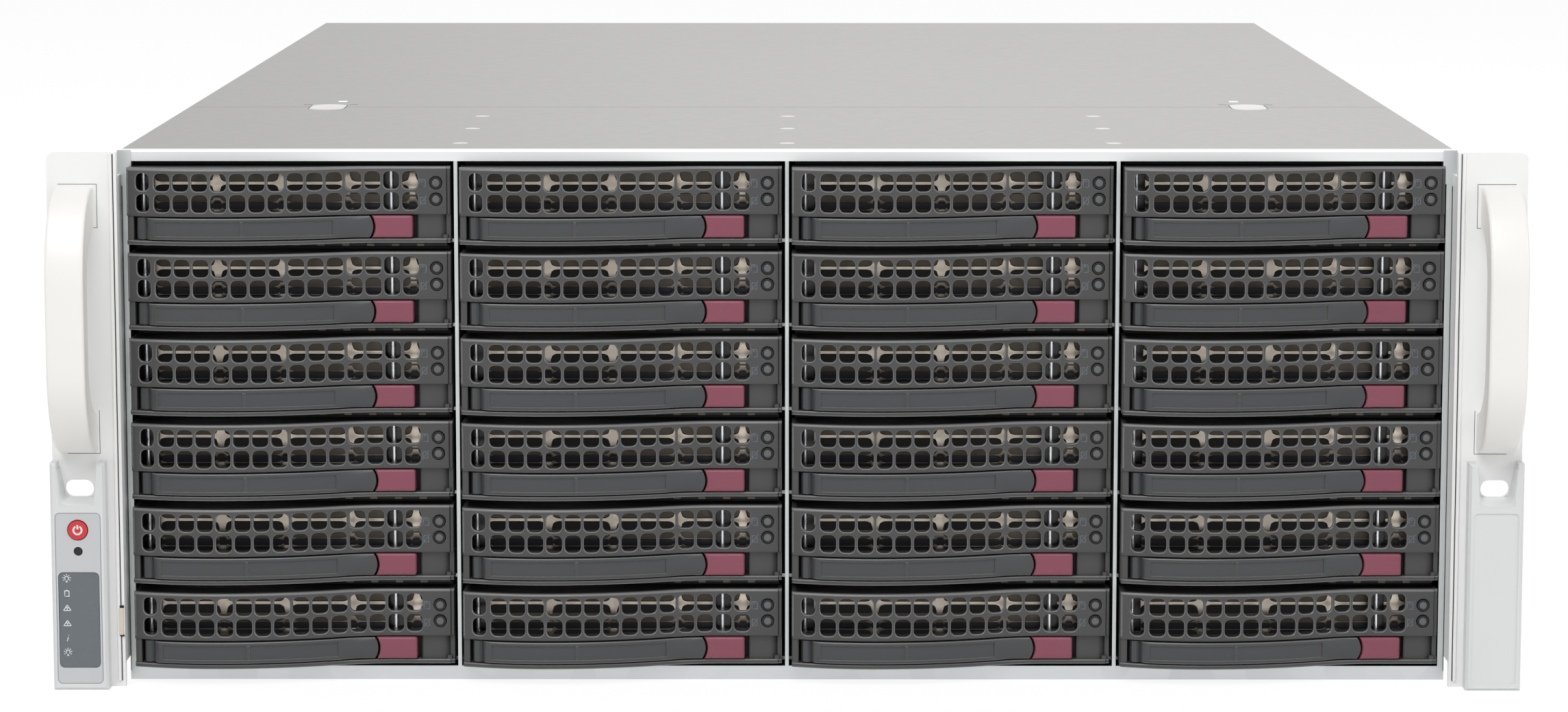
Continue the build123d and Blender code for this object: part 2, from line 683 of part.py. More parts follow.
# Walls between the columns, with a flange under the top and a ledge for each rail
with BuildPart() as bay_dividers:
    with BuildSketch(front_plane(0)):
        for line in divider_lines:
            span(line - SHEET / 2, line + SHEET / 2, SHEET, TOP_Z)
    extrude(amount=-BACKPLANE_DEPTH)
    with BuildSketch(front_plane(LEDGE_START)):
        for column, line in enumerate(divider_lines):
            span(line - TOP_FLANGE_W / 2, line + TOP_FLANGE_W / 2, TOP_Z - SHEET, TOP_Z)
            ledges(column, 1, line - SHEET / 2)
            ledges(column + 1, -1, line + SHEET / 2)
    extrude(amount=-(BACKPLANE_DEPTH - LEDGE_START))
    # The front edge stands behind the lip of the top and the bottom rail
    with BuildSketch(front_plane(0)):
        for line in divider_lines:
            span(line - SHEET, line + SHEET, 0, BOTTOM_RAIL_H)
            span(line - SHEET, line + SHEET, TOP_RAIL_Z, BODY_H)
    extrude(amount=-SHEET, mode=Mode.SUBTRACT)
pieces["bay_dividers"] = bay_dividers

# Backplane, open for air behind each disk, and its connectors
BOARD_TOP = SHELF_Z - BOARD_TOP_CLEAR


def bay_spots(lift):
    """Middle of every bay across, at a height above the tray's underside."""
    return [
        ((column + 0.5 - COLUMNS / 2) * COLUMN_PITCH, BAY_Z + row * ROW_PITCH + lift)
        for column in range(COLUMNS)
        for row in range(ROWS)
    ]


with BuildPart() as drive_backplane:
    with BuildSketch(front_plane(BACKPLANE_DEPTH)):
        span(-INNER_X + RUN_CLEARANCE, INNER_X - RUN_CLEARANCE, BOARD_MARGIN, BOARD_TOP)
        with Locations(*bay_spots(VENT_LIFT)):
            Rectangle(VENT_W, VENT_H, mode=Mode.SUBTRACT)
    extrude(amount=-BOARD_T)
pieces["drive_backplane"] = drive_backplane

with BuildPart() as drive_connectors:
    with BuildSketch(front_plane(DRIVE_REAR + RUN_CLEARANCE)):
        with Locations(*bay_spots(DRIVE_LIFT + SOCKET_H)):
            Rectangle(SOCKET_W - 2 * PLUG_CLEARANCE, PLUG_BASE_H - 2 * PLUG_CLEARANCE)
    extrude(amount=-(BACKPLANE_GAP - RUN_CLEARANCE))
    with BuildSketch(front_plane(DRIVE_REAR - SOCKET_DEPTH + PLUG_CLEARANCE)):
        with Locations(*bay_spots(DRIVE_LIFT + SOCKET_H)):
            Rectangle(SOCKET_W - 2 * PLUG_CLEARANCE, SOCKET_H - 2 * PLUG_CLEARANCE)
    extrude(amount=-(SOCKET_DEPTH - PLUG_CLEARANCE + RUN_CLEARANCE))
pieces["drive_connectors"] = drive_connectors


def fan_housing(size, depth):
    """Square fan housing on the Z axis, inlet at zero, with the motor base, its four
    struts and the shaft at the outlet."""
    bore = size / 2 - FAN_WALL_T
    hub = size / 2 * HUB_SHARE
    with BuildPart() as body:
        with BuildSketch():
            Rectangle(size, size)
            RegularPolygon(bore, FAN_SIDES, mode=Mode.SUBTRACT)
        extrude(amount=depth)
        with BuildSketch(Plane.XY.offset(depth - STRUT_T)):
            RegularPolygon(hub, FAN_SIDES)
            Rectangle(2 * bore + FAN_WALL_T, STRUT_W)
            Rectangle(STRUT_W, 2 * bore + FAN_WALL_T)
        extrude(amount=STRUT_T)
        with BuildSketch(Plane.XY.offset(depth - STRUT_T)):
            Circle(SHAFT_R)
        extrude(amount=-(depth - STRUT_T) / 2)
    return body.part


def fan_rotor(size, depth):
    """Fan rotor on the Z axis for the housing above: a hub with a blind bore for the
    shaft, and pitched blades."""
    bore = size / 2 - FAN_WALL_T
    hub = size / 2 * HUB_SHARE
    length = depth - STRUT_T - 2 * ROTOR_END_GAP
    blade = bore - BLADE_TIP_GAP - hub / 2
    with BuildPart() as body:
        with BuildSketch(Plane.XY.offset(ROTOR_END_GAP)):
            RegularPolygon(hub, FAN_SIDES)
        extrude(amount=length)
        with Locations((0, 0, ROTOR_END_GAP + length / 2)):
            with PolarLocations(hub / 2 + blade / 2, BLADES):
                Box(blade, length, BLADE_T, rotation=(90 - BLADE_PITCH, 0, 0))
        with BuildSketch(Plane.XY.offset((depth - STRUT_T) / 2 - ROTOR_END_GAP)):
            Circle(SHAFT_R + SHAFT_CLEARANCE)
        extrude(amount=depth, mode=Mode.SUBTRACT)
    return body.part


def fan_place(x, z, depth):
    """Place of a fan with its inlet at a depth and its axis along the air flow."""
    return Location((x, FRONT_Y + depth, z), (-90, 0, 0))


fan_z = SHEET + FAN_WALL_CLEAR + FAN_SIZE / 2 + (SIDE_Z - SHEET - FAN_SIZE) / 2
mid_fan_x = [(index - (FANS - 1) / 2) * FAN_PITCH for index in range(FANS)]
rear_fan_x = [REAR_FAN_X + side * REAR_FAN_PITCH / 2 for side in (-1, 1)]
rear_fan_depth = BODY_D - SHEET - REAR_FAN_DEPTH
mid_places = [fan_place(x, fan_z, FAN_FRONT) for x in mid_fan_x]
rear_places = [fan_place(x, REAR_FAN_Z, rear_fan_depth) for x in rear_fan_x]

with BuildPart() as fan_wall:
    reach = INNER_X - SKIRT_GAP - SHEET - FAN_WALL_CLEAR
    with BuildSketch(front_plane(FAN_WALL_DEPTH)):
        span(-reach, reach, SHEET, SIDE_Z - FAN_WALL_CLEAR)
        with Locations(*[(x, fan_z) for x in mid_fan_x]):
            RegularPolygon(FAN_SIZE / 2 - FAN_WALL_T, FAN_SIDES, mode=Mode.SUBTRACT)
    extrude(amount=-SHEET)
    with BuildSketch(front_plane(FAN_WALL_DEPTH)):
        span(-reach, reach, SHEET, 2 * SHEET)
    extrude(amount=SKIRT_H)
pieces["fan_wall"] = fan_wall

with BuildPart() as fan_housings:
    with Locations(*mid_places):
        add(fan_housing(FAN_SIZE, FAN_DEPTH))
    with Locations(*rear_places):
        add(fan_housing(REAR_FAN_SIZE, REAR_FAN_DEPTH))
pieces["fan_housings"] = fan_housings

rotor_places = dict(zip(("mid_left", "mid_centre", "mid_right"), mid_places))
rotor_places.update(zip(("rear_left", "rear_right"), rear_places))
for name, place in rotor_places.items():
    size, depth = (FAN_SIZE, FAN_DEPTH) if "mid" in name else (REAR_FAN_SIZE, REAR_FAN_DEPTH)
    with BuildPart() as rotor:
        with Locations(place):
            add(fan_rotor(size, depth))
    pieces[f"fan_rotor_{name}"] = rotor

# Power supplies, stacked in a cage at the rear, and the board they plug into
cell_w = PSU_W + 2 * PSU_CLEARANCE
cell_h = PSU_H + 2 * PSU_CLEARANCE
cage_right = INNER_X - CAGE_RIGHT_GAP
cage_left = cage_right - cell_w - 2 * CAGE_T
psu_x = (cage_left + cage_right) / 2
cell_z = [SHEET + CAGE_LIFT + CAGE_T + index * (cell_h + CAGE_T) for index in range(2)]
cage_depth = BODY_D - PSU_L - CAGE_EXTRA_L
psu_front_y = REAR_Y - PSU_L

with BuildPart() as psu_cage:
    with BuildSketch(front_plane(cage_depth)):
        span(cage_left, cage_right, SHEET, cell_z[1] + cell_h + CAGE_T)
        for low in cell_z:
            span(psu_x - cell_w / 2, psu_x + cell_w / 2, low, low + cell_h, Mode.SUBTRACT)
        span(psu_x - cell_w / 2, psu_x + cell_w / 2, SHEET, SHEET + CAGE_LIFT, Mode.SUBTRACT)
    extrude(amount=-(REAR_INNER_Y - FRONT_Y - cage_depth))
pieces["psu_cage"] = psu_cage

with BuildPart() as power_board:
    with BuildSketch(front_plane(cage_depth)):
        span(cage_left, cage_right, SHEET, cell_z[1] + cell_h)
    extrude(amount=BOARD_T)
    with BuildSketch(front_plane(cage_depth)):
        with Locations(*[(psu_x, low + cell_h / 2) for low in cell_z]):
            Rectangle(SOCKET_W, PLUG_BASE_H)
    extrude(amount=-(CAGE_EXTRA_L - RUN_CLEARANCE))
pieces["power_board"] = power_board


def psu(low):
    """Power supply in the cell that starts at a height, with its inlet recess, its air
    grille, its pull handle and the pocket of its latch."""
    middle = low + cell_h / 2
    rear = Plane.XZ.offset(-REAR_Y)
    right = psu_x + PSU_W / 2
    with BuildPart() as body:
        with BuildSketch(Plane.XZ.offset(-psu_front_y)):
            with Locations((psu_x, middle)):
                Rectangle(PSU_W, PSU_H)
        extrude(amount=-PSU_L)
        with BuildSketch(rear):
            with Locations((psu_x + INLET_OFFSET, middle)):
                Rectangle(INLET_W, INLET_H)
        extrude(amount=INLET_DEPTH, mode=Mode.SUBTRACT)
        with BuildSketch(rear):
            with Locations((psu_x + PSU_VENT_OFFSET, middle)):
                Circle(PSU_VENT_R)
                Circle(PSU_VENT_HUB_R, mode=Mode.SUBTRACT)
                Rectangle(2 * PSU_VENT_R, HANDLE_ROD / 2, mode=Mode.SUBTRACT)
                Rectangle(HANDLE_ROD / 2, 2 * PSU_VENT_R, mode=Mode.SUBTRACT)
        extrude(amount=PSU_VENT_DEPTH, mode=Mode.SUBTRACT)
        with BuildSketch(rear):
            span(right - LATCH_EDGE - LATCH_POCKET_W, right - LATCH_EDGE,
                 middle - LATCH_H / 2 - RUN_CLEARANCE, middle + LATCH_H / 2 + RUN_CLEARANCE)
        extrude(amount=LATCH_POCKET_DEPTH, mode=Mode.SUBTRACT)
        # Handle, a flat bow left of the inlet
        left = psu_x - PSU_W / 2 + LATCH_EDGE
        with BuildSketch(Plane.XY.offset(middle - PSU_HANDLE_H / 2)):
            span(left, left + HANDLE_ROD, REAR_Y, REAR_Y + HANDLE_REACH)
        extrude(amount=PSU_HANDLE_H)
        with BuildSketch(Plane.YZ.offset(left)):
            with Locations((REAR_Y, middle)):
                inner = (HANDLE_REACH - HANDLE_ROD, PSU_HANDLE_H - 2 * HANDLE_ROD)
                Rectangle(*inner, align=(Align.MIN, Align.CENTER))
        extrude(amount=HANDLE_ROD, mode=Mode.SUBTRACT)
    return body


def psu_latch(low):
    """Latch of the supply in the cell that starts at a height, at rest against the outer
    side of its pocket."""
    middle = low + cell_h / 2
    right = psu_x + PSU_W / 2 - LATCH_EDGE - RUN_CLEARANCE
    start = REAR_Y - LATCH_POCKET_DEPTH + RUN_CLEARANCE
    with BuildPart() as body:
        with BuildSketch(Plane.XY.offset(middle - LATCH_H / 2)):
            with BuildLine():
                Polyline(
                    (right, start),
                    (right, REAR_Y + LATCH_REACH),
                    (right - LATCH_T, REAR_Y + LATCH_REACH),
                    (right - LATCH_T, REAR_Y + LATCH_T),
                    (right - LATCH_T * 1.5, REAR_Y),
                    (right - LATCH_T * 1.5, start),
                    close=True,
                )
            make_face()
        extrude(amount=LATCH_H)
    return body


for index, low in enumerate(cell_z):
    pieces[f"psu_{index + 1}"] = psu(low)
    pieces[f"psu_latch_{index + 1}"] = psu_latch(low)

# Rear panel with its openings
slot_x = [SLOT_FIRST_X + index * SLOT_PITCH for index in range(SLOTS)]

with BuildPart() as rear_panel:
    with BuildSketch(Plane.XZ.offset(-REAR_INNER_Y)):
        span(-INNER_X, INNER_X, SHEET, SIDE_Z)
        for low in cell_z:
            span(psu_x - cell_w / 2, psu_x + cell_w / 2, low, low + cell_h, Mode.SUBTRACT)
        for x in slot_x:
            span(x - SLOT_W / 2, x + SLOT_W / 2, SLOT_Z, SLOT_Z + SLOT_H, Mode.SUBTRACT)
        span(IO_X, IO_X + IO_W, IO_Z, IO_Z + IO_H, Mode.SUBTRACT)
        with Locations(*[(x, REAR_FAN_Z) for x in rear_fan_x]):
            RegularPolygon(REAR_FAN_SIZE / 2 - FAN_WALL_T, FAN_SIDES, mode=Mode.SUBTRACT)
    extrude(amount=-SHEET)
pieces["rear_panel"] = rear_panel


def slot_bracket(x):
    """Bracket behind one slot of the rear panel, with its tab bent inwards."""
    low, high = SLOT_Z - BRACKET_LAP, SLOT_Z + SLOT_H + BRACKET_LAP
    with BuildPart() as body:
        with BuildSketch(Plane.YZ.offset(x - BRACKET_W / 2)):
            span(REAR_INNER_Y - BRACKET_T, REAR_INNER_Y, low, high)
            span(REAR_INNER_Y - BRACKET_TAB_L, REAR_INNER_Y, high - BRACKET_T, high)
        extrude(amount=BRACKET_W)
    return body


with BuildPart() as slot_covers:
    for index, x in enumerate(slot_x):
        if index != PORT_SLOT:
            add(slot_bracket(x).part)
    with BuildSketch(Plane.XZ.offset(-(REAR_INNER_Y - BRACKET_T))):
        span(IO_X - IO_LAP, IO_X + IO_W + IO_LAP, IO_Z - IO_LAP, IO_Z + IO_H + IO_LAP)
    extrude(amount=-BRACKET_T)
pieces["slot_covers"] = slot_covers

with BuildPart() as host_port_bracket:
    port_x = slot_x[PORT_SLOT]
    port_z = SLOT_Z + SLOT_H / 2
    port_y = REAR_INNER_Y + PORT_PROUD
    add(slot_bracket(port_x).part)
    port_spots = [(port_x, port_z + side * PORT_PITCH / 2) for side in (-1, 1)]
    with BuildSketch(Plane.XZ.offset(-port_y)):
        with Locations(*port_spots):
            Rectangle(PORT_W + 2 * PORT_WALL, PORT_H + 2 * PORT_WALL)
    extrude(amount=PORT_L + PORT_WALL)
    with BuildSketch(Plane.XZ.offset(-port_y)):
        with Locations(*port_spots):
            Rectangle(PORT_W, PORT_H)
    extrude(amount=PORT_L, mode=Mode.SUBTRACT)
    with BuildSketch(Plane.YZ.offset(port_x - PORT_W / 2 - PORT_WALL)):
        board_top = SLOT_Z + SLOT_H - PORT_PITCH / 2
        span(REAR_INNER_Y - PORT_BOARD_L, REAR_INNER_Y - BRACKET_T, SLOT_Z, board_top)
    extrude(amount=-BOARD_T)
pieces["host_port_bracket"] = host_port_bracket

with BuildPart() as rear_fan_guards:
    with BuildSketch(Plane.XZ.offset(-REAR_Y)):
        with Locations(*[(x, REAR_FAN_Z) for x in rear_fan_x]):
            for radius in (REAR_FAN_SIZE / 2, REAR_FAN_SIZE / 4):
                RegularPolygon(radius, FAN_SIDES)
                RegularPolygon(radius - GUARD_RING_W, FAN_SIDES, mode=Mode.SUBTRACT)
    extrude(amount=-GUARD_T)
    with BuildSketch(Plane.XZ.offset(-REAR_Y)):
        with Locations(*[(x, REAR_FAN_Z) for x in rear_fan_x]):
            Rectangle(REAR_FAN_SIZE - GUARD_RING_W, GUARD_RING_W)
            Rectangle(GUARD_RING_W, REAR_FAN_SIZE - GUARD_RING_W)
    extrude(amount=-GUARD_T)
pieces["rear_fan_guards"] = rear_fan_guards

# Left ear bracket: the rack plate and the flange along the side of the body
with BuildPart() as left_ear_bracket:
    with BuildSketch(Plane.XY):
        span(-EAR_X, -BODY_W / 2, FRONT_Y + EAR_FACE, FRONT_Y + EAR_BACK)
    extrude(amount=BODY_H)
    corner = left_ear_bracket.edges().filter_by(Axis.Y).sort_by(Axis.X)[:2].sort_by(Axis.Z)[-1]
    fillet(corner, EAR_CORNER_R)
    with BuildSketch(Plane.XY.offset(EAR_FLANGE_INSET)):
        span(-BODY_W / 2 - EAR_T, -BODY_W / 2, FRONT_Y + EAR_FACE, FRONT_Y + EAR_FLANGE_L)
    extrude(amount=BODY_H - 2 * EAR_FLANGE_INSET)
    with BuildSketch(front_plane(EAR_FACE)):
        with Locations((-BODY_W / 2 - EAR_SLOT_OUT, EAR_SLOT_Z)):
            SlotOverall(EAR_SLOT_L, EAR_SLOT_H)
    extrude(amount=-EAR_T, mode=Mode.SUBTRACT)
pieces["left_ear_bracket"] = left_ear_bracket

# Handle: a lean bow with wide feet, drawn from the side
with BuildPart() as left_handle:
    with BuildSketch(Plane.YZ.offset(-EAR_X + CONTROL_X - HANDLE_W / 2)):
        face_y = FRONT_Y + EAR_FACE
        low, high = HANDLE_Z, HANDLE_Z + HANDLE_SPAN
        with BuildLine():
            FilletPolyline(
                (face_y, low),
                (face_y - HANDLE_OUT, low + HANDLE_LEAN),
                (face_y - HANDLE_OUT, high - HANDLE_LEAN),
                (face_y, high),
                radius=HANDLE_R,
            )
            Line((face_y, high), (face_y, high - HANDLE_FOOT_H))
            grip_y = face_y - HANDLE_OUT + HANDLE_GRIP
            lean = HANDLE_LEAN * (1 - HANDLE_GRIP / HANDLE_OUT)
            FilletPolyline(
                (face_y, high - HANDLE_FOOT_H),
                (grip_y, high - HANDLE_FOOT_H - lean),
                (grip_y, low + HANDLE_FOOT_H + lean),
                (face_y, low + HANDLE_FOOT_H),
                radius=HANDLE_INNER_R,
            )
            Line((face_y, low + HANDLE_FOOT_H), (face_y, low))
        make_face()
    extrude(amount=HANDLE_W)
    sides = left_handle.faces().filter_by(Axis.X).edges()
    chamfer(sides.filter_by(lambda edge: edge.center().Y < face_y - HANDLE_EDGE), HANDLE_EDGE)

with BuildPart() as ear_handles:
    add(left_handle.part)
    mirror(about=Plane.YZ)
pieces["ear_handles"] = ear_handles


def ear_housing(controls):
    """Hollow moulded housing on the lower part of the left ear, with a notch over the
    rack screw. One with controls has holes for the keys and a pocket for the window, a
    plain one has a shallow bare plate."""
    board_y = FRONT_Y + EAR_FACE
    with BuildPart() as body:
        with BuildSketch(front_plane(HOUSING_FACE)):
            span(-EAR_X, -EAR_X + HOUSING_W, 0, HOUSING_H)
        extrude(amount=-HOUSING_PROUD)
        front_rim = body.faces().sort_by(Axis.Y)[0].edges()
        chamfer(front_rim, HOUSING_EDGE)
        with BuildSketch(front_plane(HOUSING_FACE + HOUSING_WALL)):
            left, right = -EAR_X + HOUSING_WALL, -EAR_X + HOUSING_W - HOUSING_WALL
            span(left, right, HOUSING_WALL, NOTCH_Z - HOUSING_WALL)
        extrude(amount=-HOUSING_PROUD, mode=Mode.SUBTRACT)
        with BuildSketch(front_plane(HOUSING_FACE)):
            with BuildLine():
                middle = -BODY_W / 2 - EAR_SLOT_OUT
                Polyline(
                    (middle - NOTCH_BOTTOM_W / 2, NOTCH_Z),
                    (middle + NOTCH_BOTTOM_W / 2, NOTCH_Z),
                    (middle + NOTCH_TOP_W / 2, HOUSING_H),
                    (middle - NOTCH_TOP_W / 2, HOUSING_H),
                    close=True,
                )
            make_face()
        extrude(amount=-HOUSING_PROUD, mode=Mode.SUBTRACT)
        if controls:
            with BuildSketch(front_plane(HOUSING_FACE)):
                with Locations((CONTROL_CENTRE_X, POWER_Z)):
                    Circle(POWER_R + KEY_CLEARANCE)
                with Locations((CONTROL_CENTRE_X, RESET_Z)):
                    Circle(RESET_R + KEY_CLEARANCE)
            extrude(amount=-HOUSING_WALL, mode=Mode.SUBTRACT)
            with BuildSketch(front_plane(HOUSING_FACE)):
                with Locations((CONTROL_CENTRE_X, WINDOW_Z)):
                    RectangleRounded(WINDOW_W + 2 * WINDOW_CLEARANCE,
                                     WINDOW_H + 2 * WINDOW_CLEARANCE,
                                     WINDOW_R + WINDOW_CLEARANCE)
            extrude(amount=-(WINDOW_T + WINDOW_SETBACK), mode=Mode.SUBTRACT)
        else:
            with BuildSketch(front_plane(HOUSING_FACE)):
                with Locations((CONTROL_CENTRE_X, PLATE_Z)):
                    RectangleRounded(PLATE_W, PLATE_H, PLATE_R)
            extrude(amount=-PLATE_SUNK, mode=Mode.SUBTRACT)
    return body


pieces["control_panel_housing"] = ear_housing(True)

with BuildPart() as right_ear_bracket:
    add(left_ear_bracket.part)
    mirror(about=Plane.YZ, mode=Mode.REPLACE)
pieces["right_ear_bracket"] = right_ear_bracket

with BuildPart() as right_ear_housing:
    add(ear_housing(False).part)
    mirror(about=Plane.YZ, mode=Mode.REPLACE)
pieces["right_ear_housing"] = right_ear_housing

with BuildPart() as status_window:
    with BuildSketch(front_plane(HOUSING_FACE + WINDOW_SETBACK)):
        with Locations((CONTROL_CENTRE_X, WINDOW_Z)):
            RectangleRounded(WINDOW_W, WINDOW_H, WINDOW_R)
    extrude(amount=-WINDOW_T)
pieces["status_window"] = status_window

# Board behind the control panel, with a switch for each key
with BuildPart() as control_board:
    with BuildSketch(front_plane(EAR_FACE)):
        inset = HOUSING_WALL + CONTROL_BOARD_INSET
        span(-EAR_X + inset, -EAR_X + HOUSING_W - inset, inset, NOTCH_Z - inset)
    extrude(amount=CONTROL_BOARD_T)
    with BuildSketch(front_plane(EAR_FACE - CONTROL_BOARD_T)):
        with Locations((CONTROL_CENTRE_X, POWER_Z), (CONTROL_CENTRE_X, RESET_Z)):
            Rectangle(SWITCH_W, SWITCH_W)
    extrude(amount=SWITCH_H)
pieces["control_board"] = control_board


def key(face, radius, height):
    """Round key through the housing's front, with a square flange behind the wall and a
    square stem."""
    inner = HOUSING_FACE + HOUSING_WALL + KEY_CLEARANCE
    tail = EAR_FACE - CONTROL_BOARD_T - SWITCH_H - SWITCH_GAP
    with BuildPart() as body:
        with BuildSketch(front_plane(face)):
            with Locations((CONTROL_CENTRE_X, height)):
                Circle(radius)
        extrude(amount=-(inner - face))
        for front, back, width in (
            (inner, inner + KEY_FLANGE_T, 2 * (radius + KEY_RIM)),
            (inner + KEY_FLANGE_T, tail, KEY_STEM_W),
        ):
            with BuildSketch(front_plane(front)):
                with Locations((CONTROL_CENTRE_X, height)):
                    Rectangle(width, width)
            extrude(amount=-(back - front))
    return body


pieces["power_button"] = key(HOUSING_FACE - POWER_PROUD, POWER_R, POWER_Z)
pieces["reset_button"] = key(HOUSING_FACE + RESET_SETBACK, RESET_R, RESET_Z)

# Flush rivets of the top and the screws of both ear brackets
with BuildPart() as chassis_screws:
    with BuildSketch(Plane.XY.offset(TOP_Z)):
        with Locations(*rivet_spots):
            RegularPolygon(RIVET_R - RIVET_CLEARANCE, RIVET_SIDES)
    extrude(amount=SHEET)
    screw_pitch = (BODY_H - 4 * EAR_FLANGE_INSET) / (EAR_SCREWS - 1)
    for side in (-1, 1):
        with BuildSketch(Plane.YZ.offset(side * (BODY_W / 2 + EAR_T))):
            for index in range(EAR_SCREWS):
                height = 2 * EAR_FLANGE_INSET + index * screw_pitch
                with Locations((FRONT_Y + EAR_FLANGE_L / 2, height)):
                    RegularPolygon(EAR_SCREW_R, EAR_SCREW_SIDES)
        extrude(amount=side * EAR_SCREW_H)
pieces["chassis_screws"] = chassis_screws

for name, piece in pieces.items():
    piece.part.label = name
    export_step(piece.part, f"parts/{name}.step")
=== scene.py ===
# %% [markdown]
# # Disk shelf enclosure
# A rack unit that holds twenty-four disks in four columns. The body is bent sheet steel, and each
# disk sits in a tray with a curved, pierced plastic bezel, a pull lever and a release button.
# The CAD model gives the frame: every size and joint comes from it, and nothing here moves it.
# The parts that the eye rests on are made again as fine surfaces, and every part gets its finish.

# %% The frame
import math
import bmesh
import bpy
import numpy as np
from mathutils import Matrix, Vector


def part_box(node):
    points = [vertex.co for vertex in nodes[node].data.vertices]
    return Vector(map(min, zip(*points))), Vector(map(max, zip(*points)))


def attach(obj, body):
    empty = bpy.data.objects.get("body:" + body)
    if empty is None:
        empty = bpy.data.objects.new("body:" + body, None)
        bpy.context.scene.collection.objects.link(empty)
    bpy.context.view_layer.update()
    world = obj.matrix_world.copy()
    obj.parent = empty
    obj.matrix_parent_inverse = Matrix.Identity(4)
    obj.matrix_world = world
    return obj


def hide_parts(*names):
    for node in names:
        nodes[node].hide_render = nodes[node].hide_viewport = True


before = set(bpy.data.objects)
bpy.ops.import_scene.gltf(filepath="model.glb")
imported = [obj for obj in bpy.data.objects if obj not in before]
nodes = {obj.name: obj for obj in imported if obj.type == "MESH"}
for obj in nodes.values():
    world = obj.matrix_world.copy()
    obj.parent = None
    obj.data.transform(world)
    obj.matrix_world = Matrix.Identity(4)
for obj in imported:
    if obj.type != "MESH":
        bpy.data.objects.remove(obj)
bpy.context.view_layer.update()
FRONT_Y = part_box("chassis_base")[0].y

# %% [markdown]
# ## Camera
# The photograph was taken from a little above and in front, with a long lens. The place, the tilt
# and the lens were fitted to corners of the body and the trays whose sizes are known. A camera
# could also aim at an empty, but plain angles repeat a fitted view exactly.

# %% Camera
CAMERA_PLACE = (0.00312, -1.82229, 0.31232)
CAMERA_TILT, CAMERA_YAW = 7.77, 0.157
SENSOR_MM, LENS_MM = 36.0, 104.82
camera_data = bpy.data.cameras.new("camera")
camera_data.sensor_width = SENSOR_MM
camera_data.lens = LENS_MM
camera = bpy.data.objects.new("camera", camera_data)
camera.location = CAMERA_PLACE
camera.rotation_euler = (math.radians(90 - CAMERA_TILT), 0, math.radians(CAMERA_YAW))
bpy.context.scene.collection.objects.link(camera)
bpy.context.scene.camera = camera
bpy.context.scene.view_settings.view_transform = "Standard"
print("camera at", tuple(camera.location), "lens", camera_data.lens)

# %% [markdown]
# ## Nodes and colours
# A finish here is a small tree of nodes. One function adds a node, gives it its settings and fills
# its inputs with numbers, colours or links, so a material reads as a short list. Colours are
# written as sRGB hex, as a colour picker shows them, and shaders work in linear light, so one
# function turns one into the other.

# %% Node and colour helpers
def add_node(tree, kind, inputs=None, **settings):
    """Adds one node, gives it its settings, and fills each input with a value or a link."""
    node = tree.nodes.new(kind)
    for name, value in settings.items():
        setattr(node, name, value)
    for name, value in (inputs or {}).items():
        if isinstance(value, bpy.types.NodeSocket):
            tree.links.new(value, node.inputs[name])
        else:
            node.inputs[name].default_value = value
    return node


def linear(hex_colour):
    """sRGB hex to linear light: below 0.04045 a channel is divided by 12.92, above it the
    power of 2.4 is taken of (channel + 0.055) / 1.055."""
    channel = np.array([int(hex_colour[i:i + 2], 16) for i in (1, 3, 5)]) / 255
    bright = ((channel + 0.055) / 1.055) ** 2.4
    return (*np.where(channel <= 0.04045, channel / 12.92, bright).tolist(), 1.0)


def seen_directly(tree):
    """1 for rays of the camera, rays off gloss and rays through glass, 0 for light's own."""
    path = add_node(tree, "ShaderNodeLightPath")
    seen = path.outputs["Is Camera Ray"]
    for name in ("Is Glossy Ray", "Is Transmission Ray"):
        either = {0: seen, 1: path.outputs[name]}
        seen = add_node(tree, "ShaderNodeMath", either, operation="MAXIMUM").outputs[0]
    return seen


print("white is", linear("#ffffff"), "and mid grey is", linear("#808080"))

# %% [markdown]
# ## World, floor and lamps
# The photograph was cut out on white. The world is white where it is looked at or mirrored, and a
# plain soft grey where it lights. The floor is pale, keeps the body's soft shadow and is lifted
# towards white for the camera. Large lamps above and in front stand for studio diffusers,
# because small ones would draw hard spots on the curved bezels.

# %% World
WORLD_LIGHT = 0.5
world = bpy.data.worlds.new("studio_white")
world.use_nodes = True
bpy.context.scene.world = world
tree = world.node_tree
background = tree.nodes["Background"]
background.inputs["Strength"].default_value = WORLD_LIGHT
background.inputs["Color"].default_value = linear("#ffffff")
white = add_node(tree, "ShaderNodeBackground", {"Color": linear("#ffffff"), "Strength": 1.0})
both = add_node(tree, "ShaderNodeMixShader", {
    0: seen_directly(tree),
    1: background.outputs["Background"],
    2: white.outputs["Background"],
})
tree.links.new(both.outputs["Shader"], tree.nodes["World Output"].inputs["Surface"])
print("world lights with", WORLD_LIGHT)

# %% Floor
FLOOR_HALF = 15.0
FLOOR_LIFT = 0.84
# A glow slightly above 1 makes up for the share that the matt floor keeps.
FLOOR_GLOW = 1.06
floor_mesh = bpy.data.meshes.new("floor")
corners = [(-FLOOR_HALF, -FLOOR_HALF, 0), (FLOOR_HALF, -FLOOR_HALF, 0),
           (FLOOR_HALF, FLOOR_HALF, 0), (-FLOOR_HALF, FLOOR_HALF, 0)]
floor_mesh.from_pydata(corners, [], [(0, 1, 2, 3)])
floor = bpy.data.objects.new("floor", floor_mesh)
bpy.context.scene.collection.objects.link(floor)
floor_material = bpy.data.materials.new("matt_white_floor")
floor_material.use_nodes = True
tree = floor_material.node_tree
matt = tree.nodes["Principled BSDF"]
matt.inputs["Base Color"].default_value = linear("#f4f4f4")
matt.inputs["Roughness"].default_value = 0.9
glow = add_node(tree, "ShaderNodeEmission",
                {"Color": linear("#ffffff"), "Strength": FLOOR_GLOW})
share = add_node(tree, "ShaderNodeMath", {0: seen_directly(tree), 1: FLOOR_LIFT},
                 operation="MULTIPLY")
